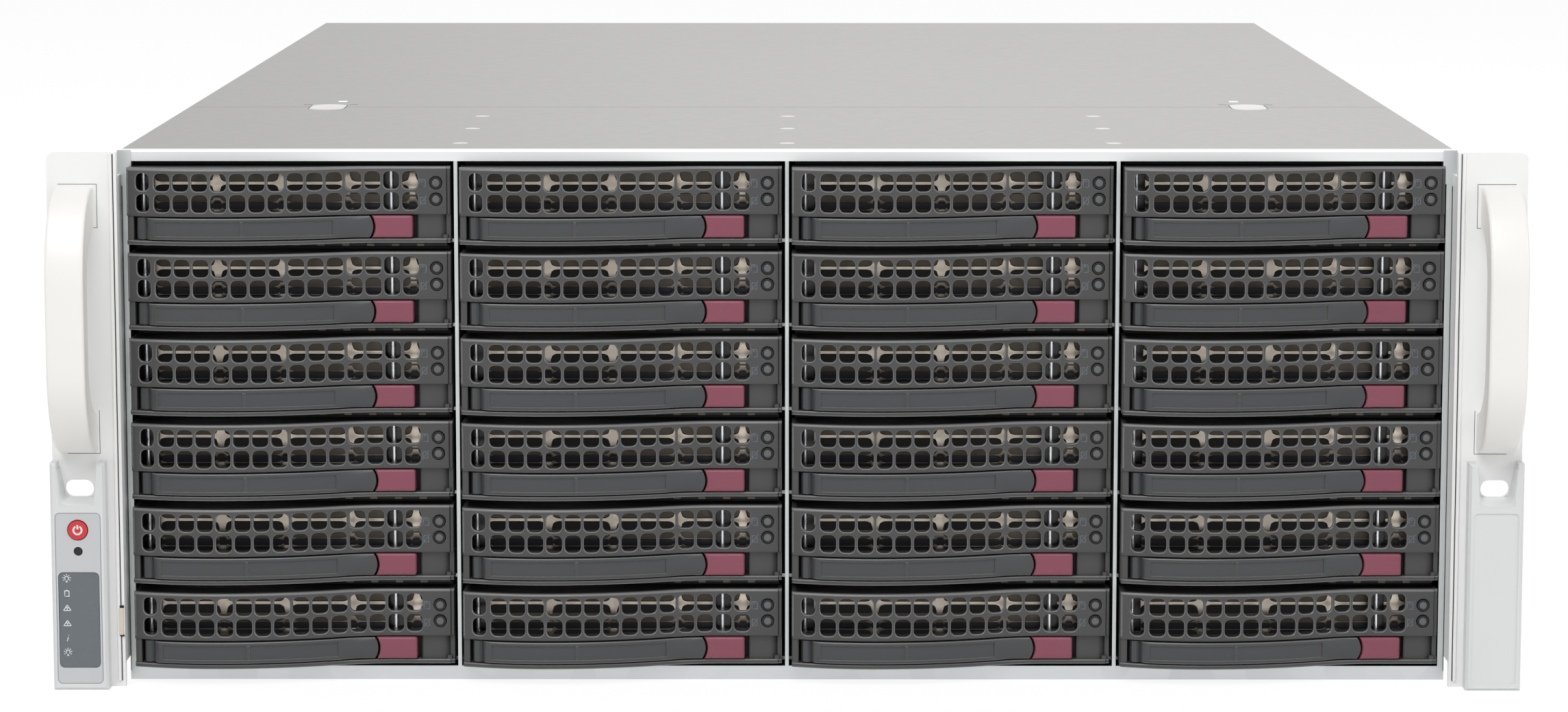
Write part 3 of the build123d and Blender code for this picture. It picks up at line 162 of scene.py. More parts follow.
lifted = add_node(tree, "ShaderNodeMixShader", {
    0: share.outputs[0],
    1: matt.outputs["BSDF"],
    2: glow.outputs["Emission"],
})
tree.links.new(lifted.outputs["Shader"], tree.nodes["Material Output"].inputs["Surface"])
floor_mesh.materials.append(floor_material)
print("floor of", 2 * FLOOR_HALF, "m")

# %% Lamps
def add_lamp(name, place, aim, size, watts):
    """Square soft lamp at a place, turned so that its -Z axis points at the aim."""
    data = bpy.data.lights.new(name, "AREA")
    data.shape = "SQUARE"
    data.size = size
    data.energy = watts
    lamp = bpy.data.objects.new(name, data)
    lamp.location = place
    way = np.subtract(aim, place)
    lamp.rotation_euler = (math.atan2(math.hypot(way[0], way[1]), -way[2]), 0,
                           math.atan2(way[1], way[0]) - math.pi / 2)
    bpy.context.scene.collection.objects.link(lamp)
    print(name, "of", watts, "W")


add_lamp("lamp_above_front", (-0.5, -1.9, 2.1), (0, -0.3, 0.08), 1.8, 36)
add_lamp("lamp_right", (2.2, -1.2, 1.0), (0, -0.2, 0.08), 1.4, 11)
add_lamp("lamp_behind", (0.4, 2.0, 1.8), (0, 0.2, 0.1), 1.6, 9)

# %% [markdown]
# ## Finishes
# Each finish starts from the real material and from how its surface was made. All read Object
# coordinates, which are metres on the object itself, so a pattern keeps its real size and stays
# put when a part moves. A pattern is a noise or a cell texture whose scale is one unit per given
# millimetres. Bump stands for relief that is too shallow to model.

# %% Patterns in millimetres
def pattern_space(tree, across, deep, up):
    """Object coordinates scaled to one unit per so many millimetres along each axis."""
    place = add_node(tree, "ShaderNodeTexCoord").outputs["Object"]
    scale = (1000 / across, 1000 / deep, 1000 / up)
    return add_node(tree, "ShaderNodeMapping", {"Vector": place, "Scale": scale}).outputs[0]


def noise(tree, size, detail=2.0):
    """Soft noise between 0 and 1. Its grains are so many millimetres, as one size or as a
    size for each axis."""
    space = pattern_space(tree, *np.broadcast_to(size, 3).tolist())
    inputs = {"Vector": space, "Scale": 1.0, "Detail": detail}
    return add_node(tree, "ShaderNodeTexNoise", inputs).outputs[0]


def new_finish(name, inputs):
    """New material with some inputs of its main shader set, and its tree of nodes."""
    material = bpy.data.materials.new(name)
    material.use_nodes = True
    shader = material.node_tree.nodes["Principled BSDF"]
    for socket, value in inputs.items():
        shader.inputs[socket].default_value = value
    return material, material.node_tree


def colour_and_bump(tree, colours, share, bump, height):
    """Mixes two hex colours by a share, and raises a height as a bump, which is a strength
    and a distance in metres."""
    shader = tree.nodes["Principled BSDF"]
    mix = {0: share, 6: linear(colours[0]), 7: linear(colours[1])}
    mixed = add_node(tree, "ShaderNodeMix", mix, data_type="RGBA")
    relief = {"Strength": bump[0], "Distance": bump[1], "Height": height}
    raised = add_node(tree, "ShaderNodeBump", relief)
    tree.links.new(mixed.outputs[2], shader.inputs["Base Color"])
    tree.links.new(raised.outputs[0], shader.inputs["Normal"])


def vary_gloss(tree, low, high, share):
    """Lets the roughness run from low to high as a share runs from 0.3 to 0.7, where a
    noise mostly lies."""
    limits = {"Value": share, "From Min": 0.3, "From Max": 0.7, "To Min": low, "To Max": high}
    rough = add_node(tree, "ShaderNodeMapRange", limits)
    tree.links.new(rough.outputs[0], tree.nodes["Principled BSDF"].inputs["Roughness"])


def lay_over(tree, layers):
    """Lays hex colours over a finish's own colour, each as far as its share says."""
    colour_input = tree.nodes["Principled BSDF"].inputs["Base Color"]
    colour = colour_input.links[0].from_socket
    for share, tone in layers:
        mix = {0: share, 6: colour, 7: linear(tone)}
        colour = add_node(tree, "ShaderNodeMix", mix, data_type="RGBA").outputs[2]
    tree.links.new(colour, colour_input)


print("finishes read patterns in millimetres")

# %% Moulded plastics
CLOUD_MM, SMEAR_MM = 38, (9, 9, 5)


def moulded(name, colour, tint, roughness, grain=0.6, relief=0.02, coat=0.0):
    """Injection-moulded plastic. The mould's etched grain is a noise of the given size in
    mm as bump, a little coarser than real so that it shows. The colour clouds slowly
    towards a tint, and handling varies the gloss."""
    material, tree = new_finish(name, {"IOR": 1.49, "Coat Weight": coat})
    colour_and_bump(tree, (colour, tint), noise(tree, CLOUD_MM), (0.5, relief / 1000),
                    noise(tree, grain, 1.0))
    vary_gloss(tree, roughness - 0.06, roughness + 0.06, noise(tree, SMEAR_MM, 3.0))
    return material


# PC/ABS with a fine spark-eroded grain: a satin charcoal.
bezel_plastic = moulded("charcoal_pc_abs_satin", "#474747", "#414143", 0.42)
# At rims and edges the same resin is a little glossier, and its paler colour is a painted
# highlight.
bezel_highlight = moulded("charcoal_pc_abs_painted_highlight", "#747473", "#6a6a6a", 0.28, relief=0.004)
# The same resin from a smoother mould: broad soft highlights on the levers.
lever_plastic = moulded("charcoal_pc_abs_smooth", "#434445", "#3d3e40", 0.34, relief=0.01)
# Coloured ABS, lightly polished: the wine-red touch point.
burgundy_plastic = moulded("burgundy_abs_polished", "#8a4759", "#804051", 0.30, relief=0.008)
# Black nylon with a matt grain, as fans and connectors are made of.
# The same black is also painted shade: on the back of the lever channel, on the shelf over the
# holes and on the shield strips between rows.
black_plastic = moulded("black_nylon_matt", "#101011", "#161617", 0.55, grain=0.9)
# Polished black acetal: pins, rings round the lenses and the small sunk key.
# It also makes the dark blocks behind the rods, which are painted shade.
black_gloss = moulded("black_acetal_polished", "#0d0d0e", "#131315", 0.22, relief=0.004)
# White ABS of the ear housings, with a very fine grain.
white_plastic = moulded("white_abs_satin", "#dddede", "#d7d8d9", 0.38, relief=0.01)
# Red ABS of the power key.
red_plastic = moulded("red_abs_polished", "#d2343a", "#c92f36", 0.28, relief=0.006)
# Smoked acrylic over the status lamps: slate with a clear gloss.
slate_plastic = moulded("slate_acrylic_gloss", "#646a6f", "#5f666c", 0.24, relief=0.003,
                        coat=0.3)
# Light pipes of smoked polycarbonate: grey domes with a sharp glint.
lens_plastic = moulded("smoked_polycarbonate", "#5c5e60", "#4c4e52", 0.12, relief=0.002,
                       coat=0.6)
# Printed ink, white and blue grey: flat and dry.
white_ink = moulded("white_screen_ink", "#dfe2e4", "#d4d8da", 0.6, relief=0.004)
grey_ink = moulded("blue_grey_pad_ink", "#6b747d", "#636c74", 0.6, relief=0.004)
print("moulded finishes:", len(bpy.data.materials) - 1)

# %% [markdown]
# The left housing has a label plate behind its keys: light grey, rounded and thinly outlined. It
# is flat print, so it is a second colour in the housing's own resin. The distance from a rounded
# rectangle is the length of (place less its inner half size, at least 0), against its radius.

# %% Housing with a label plate
LABEL_MID, LABEL_HALF, LABEL_R = (-0.2324, 0, 0.0307), (0.0074, 1, 0.0284), 0.0015
LABEL_LINE = 0.00013
label_plastic = moulded("white_abs_with_label", "#dddede", "#d7d8d9", 0.38, relief=0.01)
tree = label_plastic.node_tree
spot = add_node(tree, "ShaderNodeTexCoord").outputs["Object"]
inner_half = [half - LABEL_R for half in LABEL_HALF]
for kind, other in (("SUBTRACT", LABEL_MID), ("ABSOLUTE", (0, 0, 0)), ("SUBTRACT", inner_half),
                    ("MAXIMUM", (0, 0, 0))):
    spot = add_node(tree, "ShaderNodeVectorMath", {0: spot, 1: other}, operation=kind).outputs[0]
reach = add_node(tree, "ShaderNodeVectorMath", {0: spot}, operation="LENGTH").outputs["Value"]
inside = add_node(tree, "ShaderNodeMath", {0: reach, 1: LABEL_R}, operation="LESS_THAN")
outline = add_node(tree, "ShaderNodeMath", {0: reach, 1: LABEL_R, 2: LABEL_LINE},
                   operation="COMPARE")
lay_over(tree, ((inside.outputs[0], "#c5c6c8"), (outline.outputs[0], "#8b8e92")))
print("label plate of", 2000 * LABEL_HALF[0], "x", 2000 * LABEL_HALF[2], "mm")

# %% [markdown]
# Sheet steel shows how it was coated. Zinc freezes into flat crystals, the spangle, each a little
# brighter or duller than the next, and rolling leaves faint lines. Paint levels to a skin with
# a slight orange peel. Both are built from the same few nodes.

# %% Metals
DRIFT_MM, ROLLING_LINE = 120, 0.8


def coated_sheet(name, colour, tint, roughness, crystal=11.0, metallic=1.0, vary=1.0):
    """Zinc-coated sheet. Cells of crystal mm shade the colour and the gloss, and a noise
    drawn out across the sheet gives the rolling lines as a shallow bump, wider than real
    ones so that they show. vary scales how much the gloss changes from cell to cell."""
    material, tree = new_finish(name, {"Metallic": metallic})
    space = pattern_space(tree, crystal, crystal, crystal)
    cell = add_node(tree, "ShaderNodeTexVoronoi", {"Vector": space, "Scale": 1.0})
    grey = add_node(tree, "ShaderNodeRGBToBW", {"Color": cell.outputs["Color"]}).outputs[0]
    drift = {0: grey, 1: noise(tree, DRIFT_MM)}
    share = add_node(tree, "ShaderNodeMath", drift, operation="MULTIPLY").outputs[0]
    rolled = noise(tree, (40 * ROLLING_LINE, ROLLING_LINE, ROLLING_LINE))
    colour_and_bump(tree, (colour, tint), share, (0.35, 0.00002), rolled)
    vary_gloss(tree, roughness - 0.03 * vary, roughness + 0.05 * vary, grey)
    return material


# Hot-dip galvanised steel of the body: a pale, slightly blotched grey.
galvanised_steel = coated_sheet("galvanised_steel", "#d2d5d5", "#c7cbcb", 0.38, vary=0.5)
# The lid is finer zinc plate, warmer and more even.
plated_lid = coated_sheet("zinc_plated_lid", "#969593", "#929190", 0.46, crystal=3.0, vary=0.2)
# Nickel-plated trays and guards: brighter, with fine lines.
bright_steel = coated_sheet("nickel_plated_steel", "#d3d2cf", "#c2c0bc", 0.24, crystal=4.0)
# Polished rods behind the air holes: a broad white streak with dark sides.
polished_rod = coated_sheet("polished_nickel_rod", "#f6f7fa", "#e6e9ef", 0.24, crystal=3.0,
                            metallic=0.85)
# Chromate on the pressed front of the tray: satin beige gold, pale on the rolled bar partly as a
# painted highlight. Its darker copy in the lower slots and a thin brown copy on plate that lies in
# the dark are painted shade.
beige_chromate_and_highlight = coated_sheet("beige_chromate_steel_and_painted_highlight", "#d8cdbf", "#c9bdae", 0.34, crystal=5.0)
chromate_lower_shade = coated_sheet("chromate_steel_lower_painted_shade", "#8b847b", "#7d766e", 0.38, crystal=5.0,
                            metallic=0.8)
chromate_deep_shade = coated_sheet("chromate_steel_brown_painted_shade", "#5c554c", "#504a43", 0.40, crystal=5.0,
                              metallic=0.6)
# Cast and machined aluminium of the disks.
disk_aluminium = coated_sheet("cast_aluminium_disk", "#a9abad", "#9a9c9f", 0.45, crystal=3.0)
# Supply casings of passivated steel.
supply_metal = coated_sheet("passivated_supply_steel", "#b3b6b5", "#a4a7a6", 0.34, crystal=14.0)
print("metals are ready")

# %% [markdown]
# The rolled front lip of the lid faces the light, so it is painted nearly white as a highlight.
# Beside each release button the sheet is dished, and the dishes are painted dark as shade; behind
# them a white spot is a painted glint. The dishes are under a millimetre deep, so colour alone
# tells of them. Each mark is a rectangle, where both places lie within half a size of its middle.

# %% Painted light on the lid
LIP_START, LIP_END = 0.0035, 0.002
DISH_SHADE_HALF, GLINT_HALF = (0.0016, 0.0012), (0.0016, 0.0024)
lid_shade_and_glint = (((0.1596, 0.1828), DISH_SHADE_HALF, "#55524f"), ((0.1764, 0.1828), DISH_SHADE_HALF, "#55524f"),
             ((0.165, 0.197), GLINT_HALF, "#f4f4f4"))
tree = plated_lid.node_tree
place = add_node(tree, "ShaderNodeTexCoord").outputs["Object"]
behind = add_node(tree, "ShaderNodeSeparateXYZ", {0: place}).outputs["Y"]
side = add_node(tree, "ShaderNodeVectorMath", {0: place}, operation="ABSOLUTE").outputs[0]
side = add_node(tree, "ShaderNodeSeparateXYZ", {0: side}).outputs["X"]
# The lip's near white is a painted highlight, the dishes' dark is painted shade and the white spot
# a painted glint.
lip_highlight = {"Value": behind, "From Min": FRONT_Y + LIP_START, "From Max": FRONT_Y + LIP_END}
toned = [(add_node(tree, "ShaderNodeMapRange", lip_highlight).outputs[0], "#e6e8e8")]
for (mark_x, mark_y), half, tone in lid_shade_and_glint:
    at_x, at_y = [
        add_node(tree, "ShaderNodeMath", inputs, operation="COMPARE").outputs[0]
        for inputs in ({0: side, 1: mark_x, 2: half[0]},
                       {0: behind, 1: FRONT_Y + mark_y, 2: half[1]})]
    both = add_node(tree, "ShaderNodeMath", {0: at_x, 1: at_y}, operation="MULTIPLY")
    toned.append((both.outputs[0], tone))
lay_over(tree, toned)
print("lid has", len(lid_shade_and_glint), "marks on each side")

# %% Paints
PAINT_CLOUD, ORANGE_PEEL = 60, 1.6


def painted(name, colour, tint, roughness):
    """Powder paint on steel. A noise is the orange peel of the baked skin, and the colour
    drifts slowly towards a tint."""
    material, tree = new_finish(name, {"IOR": 1.5})
    cloud = noise(tree, PAINT_CLOUD)
    colour_and_bump(tree, (colour, tint), cloud, (0.3, 0.00003), noise(tree, ORANGE_PEEL, 1.0))
    vary_gloss(tree, roughness - 0.04, roughness + 0.04, cloud)
    return material


# Powder-painted ears and the warmer handles.
white_paint = painted("white_powder_paint", "#f2f2f1", "#ecedec", 0.36)
cream_paint = painted("warm_white_powder_paint", "#f1f0ed", "#edebe7", 0.34)
# Painted shade: a blue grey and a black on plates that lie in shadow behind the holes; the black
# also lies in the dark gaps by the ears.
blue_painted_shade = painted("blue_painted_shade", "#33353c", "#292a30", 0.3)
black_shade_paint = painted("black_painted_shade", "#050505", "#080808", 0.6)
print("paints are ready")

# %% [markdown]
# A circuit board is glass cloth in epoxy under green solder mask. Copper traces show through the
# mask as slightly raised, lighter lanes. A texture of square cells, drawn out along the board,
# gives lanes about 2.5 mm wide, coarser than real ones, so that they show.

# %% Circuit board
circuit_board, tree = new_finish("green_solder_mask_board", {"Roughness": 0.35})
space = pattern_space(tree, 7, 7, 2.5)
lanes = add_node(tree, "ShaderNodeTexVoronoi", {"Vector": space, "Scale": 1.0},
                 distance="MANHATTAN").outputs["Distance"]
edge = add_node(tree, "ShaderNodeMapRange", {"Value": lanes, "From Min": 0.3, "From Max": 0.7})
colour_and_bump(tree, ("#1f5a3c", "#123a28"), edge.outputs[0], (0.4, 0.00004), lanes)
print("board:", circuit_board.name)

# %% [markdown]
# ## Finishes on the carried-over CAD parts
# The sheet metal, the fans, the disks and the supplies have the right shape in the CAD model, so
# they stay and only take a finish.

# %% Dressing the CAD parts
def dress(material, *names):
    """Gives CAD nodes one finish."""
    for name in names:
        nodes[name].data.materials.clear()
        nodes[name].data.materials.append(material)
    print(material.name, "on", len(names), "parts")


columns = (1, 2, 3, 4)
dress(plated_lid, "front_top_panel", "top_cover")
dress(galvanised_steel, "chassis_base", "bay_dividers", "fan_wall", "rear_panel", "slot_covers",
      "psu_cage")
dress(bright_steel, "cover_buttons", "rear_fan_guards", "chassis_screws", "host_port_bracket",
      "tray_frame", *[f"column_{n}_frames" for n in columns])
dress(disk_aluminium, "tray_drive", *[f"column_{n}_drives" for n in columns])
dress(circuit_board, "drive_backplane", "power_board", "control_board")
dress(black_plastic, "drive_connectors", "fan_housings", "fan_rotor_mid_left",
      "fan_rotor_mid_centre", "fan_rotor_mid_right", "fan_rotor_rear_left",
      "fan_rotor_rear_right")
dress(supply_metal, "psu_1", "psu_2")
dress(burgundy_plastic, "psu_latch_1", "psu_latch_2")
dress(white_paint, "left_ear_bracket", "right_ear_bracket")
dress(label_plastic, "control_panel_housing")
dress(white_plastic, "right_ear_housing")
dress(slate_plastic, "status_window")
dress(red_plastic, "power_button")
dress(black_gloss, "reset_button")

# %% [markdown]
# ## Building surfaces from arrays
# Every new piece is worked out as whole numpy arrays: a grid of points from a formula, or a
# profile carried along a path. Points are in millimetres as (across, behind the front edge of
# the body, up). Blender could also build them with modifiers by hand, but a formula repeats
# exactly for all twenty-four trays.

# %% Grids, loops and slabs
def grid_faces(rows, count, closed=False):
    """Four-cornered faces between neighbouring points of a grid. A closed one joins its
    last column to its first."""
    index = np.arange(rows * count).reshape(rows, count)
    if closed:
        index = np.column_stack((index, index[:, 0]))
    corners = (index[:-1, :-1], index[:-1, 1:], index[1:, 1:], index[1:, :-1])
    return np.stack(corners, axis=-1).reshape(-1, 4)


def carried(loops):
    """Solid from a stack of equal loops, joined point to point and closed at both ends."""
    rows, count = loops.shape[:2]
    ends = np.arange(rows * count).reshape(rows, count)[[0, -1]]
    return loops.reshape(-1, 3), [grid_faces(rows, count, True), ends]


def prism(outline, low, high, axis=2):
    """Solid from one flat outline, carried from a low to a high level along an axis."""
    outline = np.asarray(outline, float)
    return carried(np.stack([np.insert(outline, axis, level, 1) for level in (low, high)]))


def block(low, high):
    """Plain block between two corners."""
    (x0, y0, z0), (x1, y1, z1) = low, high
    return prism(((x0, z0), (x1, z0), (x1, z1), (x0, z1)), y0, y1, 1)


def slab(front, back):
    """Solid between two equal grids, joined round their rims."""
    rows, count = front.shape[:2]
    face = grid_faces(rows, count)
    index = np.arange(rows * count).reshape(rows, count)
    rim = np.concatenate((index[0, :-1], index[:-1, -1], index[-1, :0:-1], index[:0:-1, 0]))
    ahead = np.roll(rim, -1)
    size = rows * count
    wall = np.stack((rim, ahead, ahead + size, rim + size), axis=-1)
    points = np.concatenate((front.reshape(-1, 3), back.reshape(-1, 3)))
    return points, [face, face + size, wall]


print("a block has", len(block((0, 0, 0), (1, 1, 1))[0]), "points")

# %% Joining, repeating and splitting shapes
def joined(*shapes):
    """One shape from several: all their points, and faces renumbered to match."""
    starts = np.cumsum([0] + [len(points) for points, _ in shapes])
    faces = [face + start for (_, some), start in zip(shapes, starts) for face in some]
    return np.concatenate([points for points, _ in shapes]), faces


def repeated(shape, places):
    """Copies of a shape: each place is added to every point."""
    points, faces = shape
    places = np.asarray(places, float)
    shift = np.arange(len(places))[:, None, None] * len(points)
    spread = (points[None] + places[:, None]).reshape(-1, 3)
    return spread, [(face[None] + shift).reshape(-1, face.shape[1]) for face in faces]


def parted(shape, chosen):
    """Splits a shape by a mask over its first set of faces: the rest, and the chosen."""
    points, faces = shape
    chosen = np.asarray(chosen).ravel()
    return (points, [faces[0][~chosen], *faces[1:]]), (points, [faces[0][chosen]])


pair = repeated(block((0, 0, 0), (1, 1, 1)), ((0, 0, 0), (2, 0, 0)))
print("two blocks have", len(pair[0]), "points")

# %% Turning shapes into pieces
SHARP_ANGLE = 32
MERGE_METRES = 2e-6


def add_piece(name, shapes, body, replaced=()):
    """Puts (shape, finish) pairs into one mesh in metres, merges doubles, turns all faces
    outwards, and keeps edges past SHARP_ANGLE sharp. The piece rides on a CAD body."""
    mesh = bpy.data.meshes.new(name)
    finishes = list(dict.fromkeys(finish for _, finish in shapes))
    points, faces = joined(*[shape for shape, _ in shapes])
    numbers = [finishes.index(finish) for (_, some), finish in shapes for _ in some]
    place = points * 0.001 + np.array((0, FRONT_Y, 0))
    sizes = np.concatenate([np.full(len(face), face.shape[1]) for face in faces])
    slots = np.concatenate([np.full(len(face), n) for face, n in zip(faces, numbers)])
    mesh.vertices.add(len(place))
    mesh.vertices.foreach_set("co", place.ravel())
    mesh.loops.add(int(sizes.sum()))
    mesh.loops.foreach_set("vertex_index", np.concatenate([face.ravel() for face in faces]))
    mesh.polygons.add(len(sizes))
    mesh.polygons.foreach_set("loop_start", np.cumsum(sizes) - sizes)
    mesh.polygons.foreach_set("material_index", slots)
    mesh.update(calc_edges=True)
    mesh.validate()
    work = bmesh.new()
    work.from_mesh(mesh)
    bmesh.ops.remove_doubles(work, verts=work.verts, dist=MERGE_METRES)
    bmesh.ops.recalc_face_normals(work, faces=work.faces)
    work.to_mesh(mesh)
    work.free()
    mesh.polygons.foreach_set("use_smooth", np.ones(len(mesh.polygons), bool))
    mesh.set_sharp_from_angle(angle=math.radians(SHARP_ANGLE))
    for finish in finishes:
        mesh.materials.append(finish)
    piece = bpy.data.objects.new(name, mesh)
    bpy.context.scene.collection.objects.link(piece)
    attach(piece, body)
    if replaced:
        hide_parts(*replaced)
    print(name, "has", len(mesh.polygons), "faces")


print("pieces keep edges sharper than", SHARP_ANGLE, "degrees")

# %% [markdown]
# ## Where the trays sit
# The bays form a grid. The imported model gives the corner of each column's lowest bezel and of
# the single tray that moves on its own, and the pitch between rows follows from them.

# %% Tray places
ROWS = 6
hero_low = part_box("tray_bezel")[0]
column_low = [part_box(f"column_{n}_bezels")[0] for n in columns]
row_pitch = (hero_low.z - column_low[0].z) / (ROWS - 1) * 1000
hero_place = [(hero_low.x * 1000, 0, hero_low.z * 1000)]
column_places = [
    [(low.x * 1000, 0, low.z * 1000 + row * row_pitch)
     for row in range(ROWS if n > 1 else ROWS - 1)]
    for n, low in zip(columns, column_low)
]
print("row pitch", round(row_pitch, 3), "mm")

# %% [markdown]
# ## The face of a tray
# Seen from above, the bezel swells towards the viewer: a circle of 82 mm rises from the left end
# to a crest 27 mm along, a circle of 120 mm falls away from it, and a hollow one of 56 mm
# brings it flat again. Everything on the front of a tray follows this one curve, so it is one
# function, and each point is given by its place across, its shift behind the face and its
# height.

# %% Face curve
BEZEL_W = 105.6
CREST_X, CREST_DEPTH = 27.0, -11.4
FLAT_DEPTH = -1.5
R_LEFT, R_RIGHT, R_BLEND = 82.0, 120.0, 56.0
turn = math.acos(1 - (FLAT_DEPTH - CREST_DEPTH) / (R_RIGHT + R_BLEND))
TURN_X = CREST_X + R_RIGHT * math.sin(turn)
FLAT_X = CREST_X + (R_RIGHT + R_BLEND) * math.sin(turn)


def sag(radius, reach):
    """How far a circle falls away from its tangent at some reach along it."""
    return radius - np.sqrt(radius**2 - np.clip(reach, -radius, radius)**2)


def face_depth(across):
    """Depth of the face: crest plus the sag of the left or the right circle, then the
    flat minus the sag of the hollow circle, then flat."""
    across = np.asarray(across, float)
    left = CREST_DEPTH + sag(R_LEFT, CREST_X - across)
    right = CREST_DEPTH + sag(R_RIGHT, across - CREST_X)
    blend = FLAT_DEPTH - sag(R_BLEND, FLAT_X - across)
    spans = [across < CREST_X, across < TURN_X, across < FLAT_X]
    return np.select(spans, [left, right, blend], FLAT_DEPTH)


def points_at(across, depth, up):
    """Points from places across, depths and heights that fit each other's shape."""
    return np.stack(np.broadcast_arrays(across, depth, up), axis=-1)


def on_face(across, shift, up):
    """Points at a place across, a shift behind the face and a height."""
    return points_at(across, face_depth(across) + shift, up)


print("the face is flat from", round(FLAT_X, 1), "mm on")

# %% [markdown]
# ## The pierced band
# The upper part of the bezel is a plate with two rows of rounded air holes and two round ones
# for the lenses. Cutting holes with a boolean leaves ragged shading on a curved plate. Here
# each hole is a small cell of its own: rings of points run from the cell's border to the rounded
# rim and through the plate to the back, and neighbouring cells share their border points.

# %% Turns and pairs
def direction(angle):
    """Unit vectors at angles in radians: (cosine, sine)."""
    return np.stack((np.cos(angle), np.sin(angle)), axis=-1)


def quarter_turns(steps):
    """For the four corners of a rounded rectangle: the unit vectors of a quarter turn in
    so many steps, and for each of them the corner's side as (1 or -1, 1 or -1)."""
    angle = np.arange(4)[:, None] * math.pi / 2 + np.linspace(0, math.pi / 2, steps)
    side = np.repeat([(1, 1), (-1, 1), (-1, -1), (1, -1)], steps, axis=0)
    return direction(angle).reshape(-1, 2), side


def all_pairs(across, up):
    """Every place across with every height, as pairs."""
    return np.stack(np.meshgrid(across, up, indexing="ij"), axis=-1).reshape(-1, 2)


print("a rounded rectangle of 5 steps has", len(quarter_turns(5)[0]), "points")

# %% Cells with a hole
BEZEL_H, BEZEL_T, HOLE_SOFT = 25.3, 1.8, 0.3
END_X = (0, 0.15, 0.35, 0.6, 104.2, 104.35, 104.6, 105.3, 105.45, BEZEL_W)
END_DROPS = (0.5, 0.2, 0.05, 0, 0, 0.25, 0.5, 0.5, 0.6, 0.95)


def band_points(across, shift, up):
    """Points of the bezel. Its outer skin also drops back at both ends, where the left
    edge is rounded and the right edge has a small step."""
    outside = np.clip(1 - np.asarray(shift) / BEZEL_T, 0, 1)
    return on_face(across, shift + outside * np.interp(across, END_X, END_DROPS), up)


def pierced_cells(centre, half, radius, cell, lines, steps):
    """Cells of the band, each with one rounded opening. An opening's outline is its corner
    centres plus a radius turned through a quarter circle in so many steps. Rings: border,
    rim widened by HOLE_SOFT, edge as far down, edge at the back, border at the back.
    cell and lines hold the low and high limits of the cell and of the straight sides."""
    way, side = [part[None] for part in quarter_turns(steps)]
    hub = centre[:, None] + side * (half - radius)[:, None]
    corner = np.where(side > 0, cell[:, 1, None], cell[:, 0, None])
    middle = np.where(side > 0, lines[:, 1, None], lines[:, 0, None])
    border = np.where(np.abs(way) < 1e-6, middle, corner)
    rim = hub + way * radius
    rings = np.stack((border, rim + way * HOLE_SOFT, rim, rim, border), axis=1)
    shift = np.array((0, 0, HOLE_SOFT, BEZEL_T, BEZEL_T))[None, :, None]
    points = band_points(rings[..., 0], shift, rings[..., 1])
    count, ring_count, size = rings.shape[:3]
    faces = grid_faces(ring_count, size, True)
    step = np.arange(count)[:, None, None] * ring_count * size
    return points.reshape(-1, 3), [(faces[None] + step).reshape(-1, 4)]


print("bezel wall of", BEZEL_T, "mm")

# %% Air holes and lens holes
HOLE_R, HOLE_HALF_H, HOLE_STEPS = 1.75, 2.9, 5
HOLES, HOLE_PITCH, FIRST_HOLE, HOLE_HALF = 14, 6.18, 12.0, 2.62
END_HOLE, END_HOLE_HALF = 5.5, 2.25
hole_x = np.append(END_HOLE, FIRST_HOLE + HOLE_PITCH * np.arange(HOLES))
hole_half = np.append(END_HOLE_HALF, np.full(HOLES, HOLE_HALF))
BAND_START, BAND_END = 2.2, FIRST_HOLE + HOLE_PITCH * (HOLES - 0.5)
cell_low = np.append(BAND_START, hole_x[1:] - HOLE_PITCH / 2)
cell_high = np.append(cell_low[1:], BAND_END)
BAND_LOW, BAND_MID, BAND_HIGH = 10.35, 17.25, 24.15
row_z = np.array((13.8, 20.7))
row_low, row_high = np.array((BAND_LOW, BAND_MID)), np.array((BAND_MID, BAND_HIGH))
LENS_X, LENS_R, LENS_GAP, LENS_STEPS = 100.8, 2.05, 0.15, 6
lens_z = np.array((14.4, 19.8))
lens_cell = np.array((98.0, 103.6))
straight = HOLE_HALF_H - HOLE_R
run_low, run_high = hole_x - hole_half + HOLE_R, hole_x + hole_half - HOLE_R
hole_shape = pierced_cells(
    all_pairs(hole_x, row_z),
    np.stack((np.repeat(hole_half, 2), np.full(2 * len(hole_x), HOLE_HALF_H)), axis=-1),
    HOLE_R,
    np.stack((all_pairs(cell_low, row_low), all_pairs(cell_high, row_high)), axis=1),
    np.stack((all_pairs(run_low, row_z - straight), all_pairs(run_high, row_z + straight)),
             axis=1),
    HOLE_STEPS)
lens_shape = pierced_cells(
    all_pairs([LENS_X], lens_z),
    np.full((2, 2), LENS_R + LENS_GAP),
    LENS_R + LENS_GAP,
    np.stack((all_pairs(lens_cell[:1], row_low), all_pairs(lens_cell[1:], row_high)), axis=1),
    np.stack((all_pairs([LENS_X - 1], row_z - straight),
              all_pairs([LENS_X + 1], row_z + straight)), axis=1),
    LENS_STEPS)
print("openings:", len(hole_x) * 2, "air holes and", len(lens_z), "for lenses")

# %% [markdown]
# The rest of the bezel is one profile carried across: over the rounded top, down the back, and
# below the holes round the channel in which the lever lies, to the sill. It uses the same
# lines across as the cells, so once doubles are merged the whole bezel is one closed skin.

